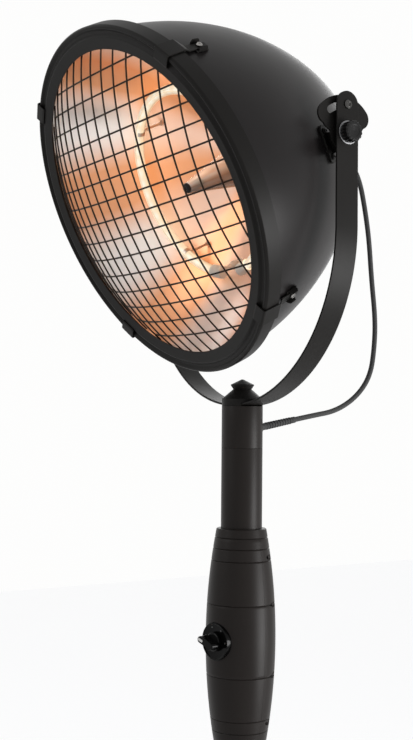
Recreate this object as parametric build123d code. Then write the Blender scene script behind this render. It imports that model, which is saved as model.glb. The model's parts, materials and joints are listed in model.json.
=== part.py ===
from build123d import *
import math
import os

# Infrared patio heater tower: a round weighted base, a tube post with a barrel-shaped control
# housing, a U-shaped yoke on the post's top, and a deep lamp head that tilts between its arms.
# Millimetres, +Z up, the mouth of the head faces -Y, the tilt axis lies along X.
# The origin is the centre of the base, on the floor.

# ------------------------------------------------------------------ fits and clearances
slip = 0.2  # radial, between parts that slide together when the tower is put up
running = 0.08  # radial, in a pivot
seat_gap = 0.1  # between flat faces that turn on each other
skin_gap = 0.3  # under a piece that is screwed to a curved skin

# ------------------------------------------------------------------ base
base_d = 500.0
base_top = 52.0  # floor to the flat top of the cover
cover_wall = 1.5
cover_rim_h = 16.0
cover_lift = 7.0  # floor to the cover's lower edge
cover_flat_r = 66.0
weight_t = 8.0
boss_r = 46.0
foot_r = 15.0
foot_h = 6.0
foot_circle_r = 222.0
foot_count = 6
flange_r = 48.0
flange_t = 5.0
flange_bolt_circle_r = 37.0
flange_bolt_count = 3
flange_bolt_r = 4.0
flange_bolt_len = 30.0
spigot_len = 60.0
spigot_wall = 3.0

# ------------------------------------------------------------------ post
tube_r = 25.0
tube_wall = 1.5
pole_joint_z = 660.0  # seam between the two lower tubes
coupler_len = 100.0
coupler_wall = 2.0
grub_r = 2.5  # small screws that lock the tubes
grub_head_r = 4.6
grub_head_t = 2.4
grub_len = 9.0
grub_inset = 28.0  # from a seam to its screws
mains_gland_z = 190.0
mains_gland_r = 9.0
mains_gland_t = 6.0
mains_neck_r = 6.5

# ------------------------------------------------------------------ control housing
housing_z = 1370.0  # widest place of the barrel
housing_half = 132.0
housing_r = 42.3
housing_end_r = 30.2
housing_wall = 2.6
housing_lip = 8.0  # depth of the collar that holds the tube
housing_turn = 9.0  # degrees: the switch looks this far from the front, towards +X
tube_end_gap = 60.0  # the tubes stop this far above and below the barrel's middle
groove_depth = 0.7
groove_w = 1.4
groove_offsets = [42.5, 94.0, 108.5, 121.5]
shell_screw_offsets = [42.0, 98.0]
shell_screw_angle = 120.0  # degrees from the switch's axis, round the barrel
shell_screw_r = 2.0
shell_screw_head_r = 3.4
shell_screw_head_t = 2.6
shell_screw_seat = 6.0  # head seat behind the split plane
shell_boss_r = 4.4
shell_boss_len = 12.0
spine_half = 118.0
spine_wall = 2.5
spine_window_half = 52.0

# ------------------------------------------------------------------ switch
plate_r = 22.2
plate_face = 42.9  # front of the black round plate, from the post's axis
plate_t = 9.0
plate_rim = 1.6
plate_dish = 1.2
knob_skirt_r = 11.5
knob_skirt_t = 4.0
grip_len = 27.0
grip_w = 8.5
grip_depth = 12.5
grip_turn = 18.0  # degrees: the grip's pointer end stands this far above level, on the left
marker_len = 8.0
marker_w = 3.4
marker_t = 0.6
spindle_r = 3.0
switch_body_w = 30.0
switch_body_d = 17.0
dial_dot_r = 1.1
dial_dot_circle_r = 17.0
dial_step = 54.0
dial_positions = 4

# ------------------------------------------------------------------ post top
top_seam_z = 1599.0
post_top = 1650.0
top_coupler_len = 70.0
plug_t = 20.0
cap_collar_h = 8.5
cap_cone_h = 12.0
cap_neck_r = 11.2
finial_flare_r = 14.2
finial_flare_h = 5.0
finial_tip_h = 7.0
finial_tip_r = 0.8
yoke_bolt_r = 4.0
yoke_bolt_depth = 16.0
post_gland_drop = 26.4  # from the post's top down to the lead's entry
sleeve_tilt = 10.5  # degrees: the strain-relief sleeve rises away from the post
sleeve_len = 56.0
sleeve_root_r = 4.4
sleeve_tip_r = 3.9
sleeve_cable_run = 28.0  # the lead leaves the sleeve straight for this length
grommet_r = 6.6
grommet_t = 2.2

# ------------------------------------------------------------------ yoke
head_clearance = 3.4452  # between the ring and the finial as the head swings past
strap_w = 30.0
strap_t = 2.5
stop_r = 31.0  # stop screw above the pivot
strap_bolt_r = 4.0

# ------------------------------------------------------------------ tilt brackets and knobs
head_tilt = 25.9  # degrees below level, at rest
plate_gap = 4.5  # between the bracket plate and the strap
bracket_reach = 21.8707  # from the bowl, in the plane of the tilt axis, to the bracket plate
bracket_t = 2.5
hub_r = 18.0
lobe_half_angle = 50.0
lobe_w = 23.0
slot_w = 8.6
slot_front_angle = 38.0  # slot from the stop screw towards the front, lets the head tilt up
slot_rear_angle = 20.0  # and towards the rear, lets it tilt down
pad_s = 11.5  # the pad's screws, in front of the tilt axis
pad_u = -4.7
pad_len = 44.0
pad_w = 12.0
pad_screw_pitch = 29.0
web_t = 2.5
stop_pin_r = 3.8
stop_head_r = 5.0
stop_head_t = 2.6
stop_nut_r = 5.6
stop_nut_t = 4.0
bolt_head_r = 5.0
bolt_head_t = 2.2
washer_r = 13.0
washer_t = 1.6
tilt_knob_r = 11.6
tilt_knob_t = 10.5
tilt_knob_face_t = 2.0
knurl_count = 16
knurl_depth = 0.9
small_screw_r = 2.0
small_head_r = 3.6
small_head_t = 2.2
small_nut_t = 3.0

# ------------------------------------------------------------------ lamp head, measured along its axis
# s is the distance in front of the tilt axis, towards the mouth; r is the distance from the head's axis
dome_mouth_r = 202.0
dome_widest_s = 151.0
dome_flank_r = 340.0
dome_crown_r = 123.0
dome_wall = 1.2
dome_front_s = 145.8
rim_w = 6.4  # turned-out rim of the bowl
reflector_wall = 0.8
reflector_inset = 4.5  # from the bowl's mouth to the dish's
reflector_mid_r = 114.0
reflector_mid_s = 36.0
reflector_flat_r = 33.0
reflector_flat_s = -16.0
ring_play = 1.7  # between the bowl's rim and the ring's band
ring_front_s = 158.0
ring_back_s = 137.0
ring_wall = 1.2
ring_face_w = 27.1
bead_inset = 13.3
valley_inset = 8.3
valley_drop = 2.9
ring_corner = 2.3

guard_ball_r = 432.0
guard_edge_drop = 0.4197  # the mesh's edge lies this far behind the hoop's back
guard_pitch = 22.7
guard_wire_r = 1.05
guard_level_count = 15
guard_upright_count = 16
guard_turn = 1.0  # degrees, the mesh sits a little turned in its ring
hoop_w = 8.0
hoop_inset = 1.0  # the hoop's lip stands this far outside the middle of the valley
hoop_t = 2.4
hoop_lip_t = 1.8

clip_count = 4
clip_first_angle = 45.0
clip_w = 22.0
clip_t = 1.5
clip_overhang = 0.5  # the hook reaches this far past the bead
clip_screw_s = 107.0
clip_end_s = 97.0
clip_step_s = 124.0
tongue_w = 11.0
lug_w = 16.0
lug_len = 17.0
lug_ear_h = 7.5
lug_t = 1.5

# ------------------------------------------------------------------ heating element
lamp_ring_r = 114.5
lamp_s = 74.0
quartz_r = 6.0
quartz_sides = 10
lamp_gap_half = 9.0  # degrees: half the gap between the lamp's two ends, at the bottom
lamp_cap_r = 8.0
lamp_cap_len = 20.0
lamp_leg_r = 2.5
holder_angles = [45.0, 135.0, 225.0, 315.0]
holder_w = 5.0
holder_t = 1.2
holder_rod_r = 1.6
cone_tip_r = 6.8
cone_tip_s = 90.0
cone_wall = 1.0
tip_head_r = 6.5
tip_head_t = 4.0
centre_rod_r = 3.0
centre_rod_back_s = -52.0
bracket_disc_r = 30.0
bracket_disc_t = 1.5
terminal_len = 34.0
terminal_w = 20.0
terminal_h = 17.0

# ------------------------------------------------------------------ cable between head and post
cable_r = 3.25
cable_sides = 10
cable_corner_share = 1.034  # corner radius over cable_r, so that the section has a round lead's area
head_gland_angle = 22.0  # degrees below the head's axis, round the dome's crown
head_gland_nut_r = 9.5
head_gland_nut_t = 5.0
head_gland_tip_r = 5.6
head_gland_len = 15.0
cable_first_run = 20.0
cable_points = [
    (185.0, 1944.0),
    (193.0, 1912.0),
    (200.4, 1872.0),
    (205.0, 1819.0),
    (211.8, 1767.0),
    (210.5, 1730.0),
    (204.0, 1692.0),
    (181.0, 1664.0),
    (146.0, 1645.0),
]  # (y, z) in the plane x = 0, chosen by hand along the hanging lead

# ------------------------------------------------------------------ worked out from the sizes above
tube_in = tube_r - tube_wall
inner_r = tube_in - slip  # everything that slides into a tube
weight_r = base_d / 2 - cover_wall - skin_gap
flange_top = base_top + flange_t
cover_under = base_top - cover_wall
dome_waist_r = dome_mouth_r - dome_flank_r + math.sqrt(dome_flank_r**2 - dome_widest_s**2)
rim_r = dome_mouth_r + rim_w
reflector_mouth_r = dome_mouth_r - reflector_inset
ring_r = rim_r + ring_play + ring_wall
ring_mouth_r = ring_r - ring_face_w
bead_r = ring_r - bead_inset
valley_r = ring_r - valley_inset
hoop_outer_r = valley_r + hoop_inset
hoop_r = hoop_outer_r - hoop_w
hoop_back_s = dome_front_s + reflector_wall
guard_apex_s = hoop_back_s - guard_edge_drop + guard_ball_r - math.sqrt(guard_ball_r**2 - hoop_r**2)
clip_hook_r = bead_r - clip_overhang
yoke_r = dome_waist_r + bracket_reach + bracket_t + plate_gap + strap_t  # outer radius of the U
finial_top = post_top + cap_collar_h + cap_cone_h + finial_flare_h + finial_tip_h
post_gland_z = post_top - post_gland_drop
pivot_z = finial_top + head_clearance + math.hypot(ring_r, ring_front_s - ring_corner - 0.7)
strap_in = yoke_r - strap_t
bend_z = post_top + yoke_r  # centre of the yoke's bend
bracket_out = strap_in - plate_gap
bracket_in = bracket_out - bracket_t
strap_end_z = pivot_z + stop_r
bolt_hole_r = strap_bolt_r + running
tilt = math.radians(head_tilt)
barrel_arc_r = (housing_half**2 + (housing_r - housing_end_r) ** 2) / (2 * (housing_r - housing_end_r))
head = Plane(origin=(0, 0, pivot_z), x_dir=(1, 0, 0), z_dir=(0, -math.cos(tilt), -math.sin(tilt)))
housing = Plane(
    origin=(0, 0, housing_z),
    x_dir=(0, 0, 1),
    z_dir=(math.sin(math.radians(housing_turn)), -math.cos(math.radians(housing_turn)), 0),
)  # looks out of the switch: local x is up, local z is the switch's axis


# ------------------------------------------------------------------ helpers
def disc(radius, low, high, hole=0.0):
    """Round plate or tube on the Z axis between two heights."""
    body = Pos(0, 0, low) * extrude(Circle(radius), high - low)
    if hole:
        body -= Pos(0, 0, low) * extrude(Circle(hole), high - low)
    return body


def prism(radius, low, high, sides=6):
    """Regular prism on the Z axis, measured over its corners."""
    return Pos(0, 0, low) * extrude(RegularPolygon(radius, sides), high - low)


def shank(radius, low, high):
    """Hidden or threaded length of a screw, with few faces."""
    return prism(radius, low, high, 8)


def hole(radius, low, high):
    """Hidden clearance hole round a shank, with as few faces as the shank."""
    return prism(radius, low, high, 8)


def button(radius, low, high):
    """Small round screw head, with few faces."""
    return prism(radius, low, high, 12)


def lathe(outline):
    """Turned or spun piece: an outline of (radius, height) revolved round Z."""
    return revolve(Plane.XZ * outline, Axis.Z)


def sheet(points, bends, wall, side):
    """Outline of bent sheet metal: a line of (radius, height) points with a wall on one side."""
    line = FilletPolyline(*points, radius=bends) if bends else Polyline(*points)
    return make_face(offset(line, amount=wall, side=side, kind=Kind.INTERSECTION, closed=True).edges())


def group(pieces):
    """Several like solids in one node."""
    return Compound([solid for piece in pieces for solid in piece.solids()])


def around(piece, count, first=0.0):
    """Copies of a piece spread evenly round Z."""
    return [Rot(0, 0, first + i * 360.0 / count) * piece for i in range(count)]


def both_sides(piece):
    """A piece and its mirror image across the middle plane."""
    return [piece, mirror(piece, Plane.YZ)]


def along_x(piece, z):
    """Lays a piece that was built on the Z axis along +X, at a height on the yoke."""
    return Pos(0, 0, z) * Rot(0, 90, 0) * piece


def along_y(piece, z):
    """Lays a piece that was built on the Z axis along +Y, at a height on the post."""
    return Pos(0, 0, z) * Rot(-90, 0, 0) * piece


# ------------------------------------------------------------------ base
def flange_bolt_places():
    """Centres of the flange bolts."""
    return PolarLocations(flange_bolt_circle_r, flange_bolt_count, 90)


def bolt_holes(radius, low, high):
    """Drills for the flange bolts."""
    return [place * hole(radius, low, high) for place in flange_bolt_places()]


def make_base_weight():
    body = disc(weight_r, foot_h, foot_h + weight_t) + disc(boss_r, foot_h + weight_t, cover_under)
    body -= disc(inner_r - spigot_wall, foot_h, cover_under)
    body -= bolt_holes(flange_bolt_r + slip, flange_top - flange_bolt_len - 2, cover_under)
    return body


def make_base_cover():
    """Spun cover: flat crown, long cone, rounded shoulder and a straight rim."""
    outline = [
        (inner_r - spigot_wall, base_top),
        (cover_flat_r, base_top),
        (base_d / 2, cover_lift + cover_rim_h),
        (base_d / 2, cover_lift),
    ]
    body = lathe(sheet(outline, 0, cover_wall, Side.RIGHT))
    return body - bolt_holes(flange_bolt_r + slip, cover_under, base_top)


def make_base_feet():
    foot = Pos(foot_circle_r, 0, 0) * prism(foot_r, 0, foot_h, 12)
    return group(around(foot, foot_count, 30))


def make_post_flange():
    """Flange with a spigot that the lowest tube drops over."""
    body = disc(flange_r, base_top, flange_top) + disc(inner_r, flange_top, flange_top + spigot_len)
    body -= disc(inner_r - spigot_wall, base_top, flange_top + spigot_len)
    body -= bolt_holes(flange_bolt_r + slip, base_top, flange_top)
    return body - grub_hole(flange_top + grub_inset)


def make_flange_bolts():
    bolt = shank(flange_bolt_r, flange_top - flange_bolt_len, flange_top) + prism(
        flange_bolt_r * 1.8, flange_top, flange_top + flange_bolt_r * 1.2
    )
    return group([place * bolt for place in flange_bolt_places()])


# ------------------------------------------------------------------ post
def grub_hole(z):
    """Hole through the rear wall of a tube and its sleeve."""
    return along_y(hole(grub_r + slip / 2, tube_r - grub_len - 1, tube_r + 1), z)


def post_tube(low, high, holes):
    """One tube of the post, with screw holes at the rear."""
    body = disc(tube_r, low, high, tube_in)
    for z in holes:
        body -= grub_hole(z)
    return body


def make_lower_pole():
    body = post_tube(flange_top, pole_joint_z, [flange_top + grub_inset, pole_joint_z - grub_inset])
    return body - along_y(disc(mains_neck_r + slip, 0, tube_r + 1), mains_gland_z)


def make_middle_pole():
    return post_tube(pole_joint_z, housing_z - tube_end_gap, [pole_joint_z + grub_inset])


def make_pole_coupler():
    body = disc(inner_r, pole_joint_z - coupler_len / 2, pole_joint_z + coupler_len / 2, inner_r - coupler_wall)
    return body - [grub_hole(pole_joint_z - grub_inset), grub_hole(pole_joint_z + grub_inset)]


def make_pole_screws():
    screw = shank(grub_r, tube_r - grub_len, tube_r) + button(grub_head_r, tube_r, tube_r + grub_head_t)
    heights = [flange_top + grub_inset, pole_joint_z - grub_inset, pole_joint_z + grub_inset, top_seam_z - grub_inset]
    return group([along_y(screw, z) for z in heights])


def make_mains_gland():
    """Rubber inlet of the mains lead, low on the rear of the post."""
    body = disc(mains_gland_r, tube_r, tube_r + mains_gland_t) + disc(mains_neck_r, tube_in - 2, tube_r)
    return along_y(body - disc(cable_r, tube_in - 2, tube_r + mains_gland_t), mains_gland_z)


# ------------------------------------------------------------------ control housing
def barrel(shrink, half, grooves=False):
    """Solid barrel round Z in short cones, made smaller by a wall, with or without its ring grooves."""
    points = [(barrel_r(0) - shrink, 0)]
    for z in groove_offsets if grooves else groove_offsets[:2]:
        if grooves:
            points.append((barrel_r(z) - shrink, z - groove_w / 2))
        points.append((barrel_r(z) - shrink - (groove_depth if grooves else 0), min(z, half)))
        if grooves:
            points.append((barrel_r(z) - shrink, z + groove_w / 2))
    points.append((barrel_r(half) - shrink, half))
    points = [point for point in points if point[1] <= half]
    lower = [(radius, -z) for radius, z in reversed(points[1:])]
    outline = make_face(Polyline((0, -half), *lower, *points, (0, half), close=True))
    return Pos(0, 0, housing_z) * lathe(outline)


def barrel_r(offset_z):
    """Outer radius of the barrel at a distance from its middle."""
    return housing_r - barrel_arc_r + math.sqrt(barrel_arc_r**2 - offset_z**2)


def shell_screw_places():
    """Places of the shell screws: (height, sideways) in the housing's frame."""
    side = math.sin(math.radians(shell_screw_angle))
    return [
        (sign * z, across * barrel_r(z) * side)
        for z in shell_screw_offsets
        for sign in (1, -1)
        for across in (1, -1)
    ]


def make_housing_shell(front):
    """Half of the barrel, split through the post's axis; the front half carries the switch."""
    shell = barrel(0, housing_half, grooves=True) - barrel(housing_wall, housing_half - housing_lip)
    shell -= disc(tube_r + slip, housing_z - housing_half, housing_z + housing_half)
    half_space = housing * (Pos(0, 0, (1 if front else -1) * housing_r) * Box(3 * housing_half, 3 * housing_r, 2 * housing_r))
    shell &= half_space
    core = barrel(housing_wall / 2, housing_half - housing_lip) - disc(tube_r + 1, housing_z - housing_half, housing_z + housing_half)
    for x, y in shell_screw_places():
        if front:
            boss = Pos(x, y, 0) * prism(shell_boss_r, 0, shell_boss_len)
            shell += (housing * boss) & core
            shell -= housing * (Pos(x, y, 0) * hole(shell_screw_r + slip / 2, 0, shell_boss_len - 1))
        else:
            boss = Pos(x, y, 0) * prism(shell_boss_r, -housing_r, 0)
            shell += (housing * boss) & core
            shell -= housing * (Pos(x, y, 0) * hole(shell_screw_r + slip, -shell_screw_seat, 0))
            shell -= housing * (Pos(x, y, 0) * button(shell_screw_head_r + slip, -housing_r, -shell_screw_seat))
    if front:
        shell -= housing * disc(plate_r + slip, 0, 2 * housing_r)
    return shell


def make_housing_screws():
    screw = shank(shell_screw_r, -shell_screw_seat, shell_boss_len - 2) + button(
        shell_screw_head_r, -shell_screw_seat - shell_screw_head_t, -shell_screw_seat
    )
    return group([housing * (Pos(x, y, 0) * screw) for x, y in shell_screw_places()])


def make_spine():
    """Steel sleeve that joins the two tubes inside the barrel, open at the front for the switch."""
    body = disc(inner_r, housing_z - spine_half, housing_z + spine_half, inner_r - spine_wall)
    window = Pos(0, 0, inner_r) * Box(2 * spine_window_half, 3 * inner_r, 2 * inner_r)
    return body - housing * window


# ------------------------------------------------------------------ switch
def make_switch_plate():
    """Round black plate, dished inside a raised rim, with its dots."""
    back = plate_face - plate_t
    body = disc(plate_r, back, plate_face) - disc(plate_r - plate_rim, plate_face - plate_dish, plate_face)
    body -= disc(spindle_r + running, back, plate_face)
    return housing * body


def make_dial_dots():
    """Four raised dots on the plate, one for each heat setting."""
    face = plate_face - plate_dish
    dot = button(dial_dot_r, face, face + 0.3)
    first = 90 - grip_turn
    return group(
        [housing * (Rot(0, 0, first - i * dial_step) * Pos(dial_dot_circle_r, 0, 0) * dot) for i in range(dial_positions)]
    )


def make_switch_body():
    """Rotary switch behind the plate."""
    back = plate_face - plate_t
    block = Pos(0, 0, back - switch_body_d) * extrude(
        RectangleRounded(switch_body_w, switch_body_w, 3), switch_body_d
    )
    return housing * block


def make_switch_knob():
    """Bar-grip knob on a round skirt, with its spindle."""
    face = plate_face - plate_dish + 0.3 + seat_gap
    skirt = disc(knob_skirt_r, face, face + knob_skirt_t)
    grip = Pos(0, 0, face + knob_skirt_t) * extrude(SlotOverall(grip_len, grip_w), grip_depth)
    grip = chamfer(grip.edges().group_by(Axis.Z)[-1], 1.0)
    spindle = disc(spindle_r, plate_face - plate_t, face)
    body = skirt + grip + spindle
    top = face + knob_skirt_t + grip_depth
    body -= Pos(grip_len / 2 - marker_len / 2 - 1.2, 0, top - marker_t) * extrude(
        RectangleRounded(marker_len, marker_w, 1.2), marker_t
    )
    return housing * (Rot(0, 0, 90 - grip_turn) * body)


def make_switch_marker():
    """White inlay at the pointer end of the grip."""
    face = plate_face - plate_dish + 0.3 + seat_gap
    top = face + knob_skirt_t + grip_depth
    inlay = Pos(grip_len / 2 - marker_len / 2 - 1.2, 0, top - marker_t) * extrude(
        RectangleRounded(marker_len, marker_w, 1.2), marker_t
    )
    return housing * (Rot(0, 0, 90 - grip_turn) * inlay)


# ------------------------------------------------------------------ post top and yoke
def make_upper_tube():
    return post_tube(housing_z + tube_end_gap, top_seam_z, [top_seam_z - grub_inset])


def sleeve_frame():
    """Frame of the strain-relief sleeve: origin on the post's axis, z along the sleeve."""
    rise = math.radians(sleeve_tilt)
    return Plane(origin=(0, 0, post_gland_z - tube_r * math.tan(rise)), x_dir=(1, 0, 0), z_dir=(0, math.cos(rise), math.sin(rise)))


def make_top_section():
    """Short top tube: the yoke sits on it and the lead enters its rear."""
    body = disc(tube_r, top_seam_z, post_top, tube_in)
    return body - sleeve_frame() * disc(sleeve_root_r + slip, 0, 2 * tube_r)


def make_top_coupler():
    body = disc(inner_r, top_seam_z - top_coupler_len / 2, top_seam_z + 14, inner_r - coupler_wall)
    return body - grub_hole(top_seam_z - grub_inset)


def make_top_plug():
    return disc(inner_r, post_top - plug_t, post_top) - hole(yoke_bolt_r + slip, post_top - plug_t, post_top)


def yoke_band(outer, inner):
    """Bent strip between two radii of the yoke: a half circle and two straight arms."""
    arms_h = strap_end_z + strap_w / 2 - bend_z
    solids = []
    for radius in (outer, inner):
        outline = Circle(radius) + Pos(0, arms_h / 2) * Rectangle(2 * radius, arms_h)
        solids.append(Pos(0, 0, bend_z) * extrude(Plane.XZ * outline, strap_w / 2, both=True))
    return solids[0] - solids[1]


def make_yoke_strap():
    """Flat strip bent to a U, with rounded ends, pivot holes and stop-screw holes."""
    ends = Pos(0, (strap_end_z + bend_z - yoke_r) / 2) * Rectangle(strap_w, strap_end_z - bend_z + yoke_r)
    ends += Pos(0, strap_end_z) * Circle(strap_w / 2)
    body = yoke_band(yoke_r, strap_in) & extrude(Plane.YZ * ends, yoke_r + 1, both=True)
    body -= along_x(extrude(Circle(bolt_hole_r), 2 * yoke_r, both=True), pivot_z)
    body -= along_x(extrude(Circle(small_screw_r + 1 + slip), 2 * yoke_r, both=True), strap_end_z)
    return body - hole(yoke_bolt_r + slip, post_top - 1, post_top + 2 * strap_t)


def make_cone_cap():
    """Turned cap that clamps the strap: a collar with a saddle for the strap, under a cone."""
    collar_top = post_top + cap_collar_h
    outline = make_face(
        Polyline(
            (0, post_top),
            (tube_r, post_top),
            (tube_r, collar_top),
            (cap_neck_r, collar_top + cap_cone_h),
            (0, collar_top + cap_cone_h),
            close=True,
        )
    )
    body = lathe(outline) - hole(yoke_bolt_r + slip, post_top, collar_top + cap_cone_h)
    saddle = Pos(0, 0, post_top) * Box(
        3 * tube_r, strap_w + 4 * slip, 2 * strap_t, align=(Align.CENTER, Align.CENTER, Align.MIN)
    )
    ring = Pos(0, 0, bend_z) * Rot(90, 0, 0) * Cylinder(strap_in - slip, 3 * tube_r)
    return body - (saddle - ring)


def make_finial():
    """Pointed nut on top, with its bolt down into the plug."""
    base = post_top + cap_collar_h + cap_cone_h
    outline = make_face(
        Polyline(
            (0, base),
            (cap_neck_r, base),
            (finial_flare_r, base + finial_flare_h),
            (finial_tip_r, base + finial_flare_h + finial_tip_h),
            (0, base + finial_flare_h + finial_tip_h),
            close=True,
        )
    )
    return lathe(outline) + shank(yoke_bolt_r, post_top - yoke_bolt_depth, base)


def make_post_gland():
    """Grommet in the rear of the top tube, drawn out into a tapered sleeve round the lead."""
    taper = Pos(0, 0, tube_in - 2) * Cone(
        sleeve_root_r, sleeve_tip_r, sleeve_len + 2 + tube_wall, align=(Align.CENTER, Align.CENTER, Align.MIN)
    )
    outside = disc(3 * tube_r, post_gland_z - tube_r, post_gland_z + tube_r, tube_r + skin_gap)
    collar = (sleeve_frame() * disc(grommet_r, tube_in, tube_r + grommet_t)) & outside
    return sleeve_frame() * taper + collar


# ------------------------------------------------------------------ tilt brackets and knobs
def dome_r_at(s, grow=0.0):
    """Radius of the dome's flank at a place along its axis."""
    return dome_mouth_r - dome_flank_r + math.sqrt((dome_flank_r + grow) ** 2 - (dome_widest_s - s) ** 2)


def crown_s():
    """Centre of the crown's arc on the head's axis."""
    return dome_widest_s - math.sqrt((dome_flank_r - dome_crown_r) ** 2 - (dome_flank_r - dome_mouth_r) ** 2)


def dome_solid(grow):
    """Solid bowl whose skin lies a distance outside the dome: a flank arc tangent to a crown arc."""
    flank = dome_flank_r + grow
    crown = dome_crown_r + grow
    flank_x = dome_mouth_r - dome_flank_r
    meet = math.atan2(dome_widest_s - crown_s(), -flank_x)
    start = math.asin((dome_widest_s - dome_front_s) / flank)

    def on_flank(angle):
        return (flank_x + flank * math.cos(angle), dome_widest_s - flank * math.sin(angle))

    def on_crown(angle):
        return (crown * math.cos(angle), crown_s() - crown * math.sin(angle))

    outline = make_face(
        [
            ThreePointArc(on_flank(start), on_flank((start + meet) / 2), on_flank(meet)),
            ThreePointArc(on_flank(meet), on_crown((meet + math.pi / 2) / 2), (0, crown_s() - crown)),
            Line((0, crown_s() - crown), (0, dome_front_s)),
            Line((0, dome_front_s), on_flank(start)),
        ]
    )
    return lathe(outline)


def flank_frame(s, u):
    """Frame on the +X flank of the dome: z points out of the skin, y towards the mouth."""
    lean = math.asin((dome_widest_s - s) / dome_flank_r)
    radius = dome_r_at(s)
    turn = math.asin(u / radius)
    out = (math.cos(lean) * math.cos(turn), math.cos(lean) * math.sin(turn), -math.sin(lean))
    place = (radius * math.cos(turn), radius * math.sin(turn), s)
    return Plane(origin=place, x_dir=(-math.sin(turn), math.cos(turn), 0), z_dir=out)


def pad_screw_frames():
    """Frames of the two pad screws on one side."""
    return [flank_frame(pad_s, pad_u + sign * pad_screw_pitch / 2) for sign in (1, -1)]


def quadrant_outline():
    """Plate with a hub, two lobes and the arc slot that the stop screw rides in."""
    slot_middle = 90 - (slot_front_angle - slot_rear_angle) / 2  # the front lies at 0 degrees
    slot_half = (slot_front_angle + slot_rear_angle) / 2
    outline = Circle(hub_r) + SlotArc(CenterArc((0, 0), stop_r, 90 - lobe_half_angle, 2 * lobe_half_angle), lobe_w)
    side = stop_r * math.sin(math.radians(lobe_half_angle))
    up = stop_r * math.cos(math.radians(lobe_half_angle))
    outline += make_face(Polyline((0, 0), (side, up), (0, stop_r), (-side, up), close=True))
    outline -= SlotArc(CenterArc((0, 0), stop_r, slot_middle - slot_half, 2 * slot_half), slot_w)
    return outline - Circle(bolt_hole_r)


def make_bracket():
    """Quadrant bracket of the +X side: pivot plate, web and a pad screwed to the dome."""
    view = Plane(origin=(bracket_in, 0, pivot_z), x_dir=(0, -1, 0), z_dir=(-1, 0, 0))
    plate = extrude(view * quadrant_outline(), -bracket_t)
    web_s = pad_s - pad_w / 2
    web = Pos((bracket_in + dome_r_at(pad_s)) / 2, pad_u, web_s + web_t / 2) * Box(
        bracket_in - dome_r_at(pad_s) + 8, pad_len - 2 * pad_w, web_t
    )
    web -= dome_solid(skin_gap)
    web &= Pos(bracket_in + bracket_t / 2 - yoke_r / 2, 0, 0) * Box(yoke_r, yoke_r, yoke_r)
    pad_block = Pos(dome_r_at(pad_s), pad_u, pad_s) * Rot(0, 90, 0) * extrude(
        Rot(0, 0, 90) * SlotOverall(pad_len, pad_w), 30, both=True
    )
    pad = (dome_solid(skin_gap + bracket_t) - dome_solid(skin_gap)) & pad_block
    foot = pad + web
    for frame in pad_screw_frames():
        foot -= frame * hole(small_screw_r + slip, -5, 12)
    return plate + head * foot


def make_pivot_bolt():
    """Bolt of the +X side: head inside the bracket, shank through strap and knob."""
    body = disc(strap_bolt_r, bracket_in, yoke_r + washer_t + tilt_knob_t - tilt_knob_face_t - 1)
    return along_x(body + prism(bolt_head_r, bracket_in - bolt_head_t, bracket_in), pivot_z)


def make_spacer():
    """Fibre washer between bracket and strap."""
    low, high = bracket_out, strap_in - seat_gap
    return along_x(disc(washer_r - 2, low, high) - hole(bolt_hole_r / math.cos(math.pi / 8), low, high), pivot_z)


def make_strap_washer():
    """Bright washer under the knob."""
    low, high = yoke_r, yoke_r + washer_t
    return along_x(disc(washer_r, low, high) - hole(bolt_hole_r / math.cos(math.pi / 8), low, high), pivot_z)


def make_tilt_knob():
    """Round knob with a knurled edge and a blind bore for the bolt."""
    low = yoke_r + washer_t + seat_gap
    high = low + tilt_knob_t
    corners = [
        (radius * math.cos(step * math.pi / knurl_count), radius * math.sin(step * math.pi / knurl_count))
        for step, radius in enumerate([tilt_knob_r, tilt_knob_r - knurl_depth] * knurl_count)
    ]
    body = Pos(0, 0, low) * extrude(make_face(Polyline(*corners, close=True)), tilt_knob_t)
    body -= disc(bolt_hole_r, low, high - tilt_knob_face_t)
    return along_x(body, pivot_z)


def make_stop_screw():
    """Shoulder screw through the strap's end, riding in the arc slot, with its nut behind the plate."""
    body = button(stop_head_r, yoke_r, yoke_r + stop_head_t) + disc(small_screw_r + 1, strap_in - 1, yoke_r)
    body += disc(stop_pin_r, bracket_in - skin_gap, strap_in - seat_gap)
    body += prism(stop_nut_r, bracket_in - skin_gap - stop_nut_t, bracket_in - skin_gap)
    return along_x(body, strap_end_z)


def make_pad_screws():
    """Screws and nuts of the +X pad."""
    top = skin_gap + bracket_t
    screw = shank(small_screw_r, -dome_wall - small_nut_t - 1, top + 0.2)
    screw += button(small_head_r, top + 0.2, top + 0.2 + small_head_t)
    screw += prism(small_head_r, -dome_wall - 0.3 - small_nut_t, -dome_wall - 0.3)
    return [head * (frame * screw) for frame in pad_screw_frames()]


# ------------------------------------------------------------------ lamp head
def gland_frame():
    """Frame of the head's cable gland, on the crown below the axis; z points out of the skin."""
    drop = math.radians(head_gland_angle)
    out = (0, -math.sin(drop), -math.cos(drop))
    place = (0, out[1] * dome_crown_r, crown_s() + out[2] * dome_crown_r)
    return Plane(origin=place, x_dir=(1, 0, 0), z_dir=out)


def clip_screw_frame():
    """Frame of the lug screw on the +X side, before it is copied round."""
    return flank_frame(clip_screw_s, 0.0)


def make_dome_shell():
    """Spun steel bowl with a turned-out rim, and its screw and gland holes."""
    body = dome_solid(0) - dome_solid(-dome_wall)
    body += disc(rim_r, dome_front_s - dome_wall, dome_front_s, dome_r_at(dome_front_s) - dome_wall)
    holes = [frame * hole(small_screw_r + slip, -5, 5) for frame in pad_screw_frames()]
    body -= holes + [mirror(hole, Plane.YZ) for hole in holes]
    body -= around(clip_screw_frame() * hole(small_screw_r + slip, -5, 5), clip_count, clip_first_angle)
    body -= gland_frame() * disc(head_gland_tip_r + slip, -10, 10)
    return head * body


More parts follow.
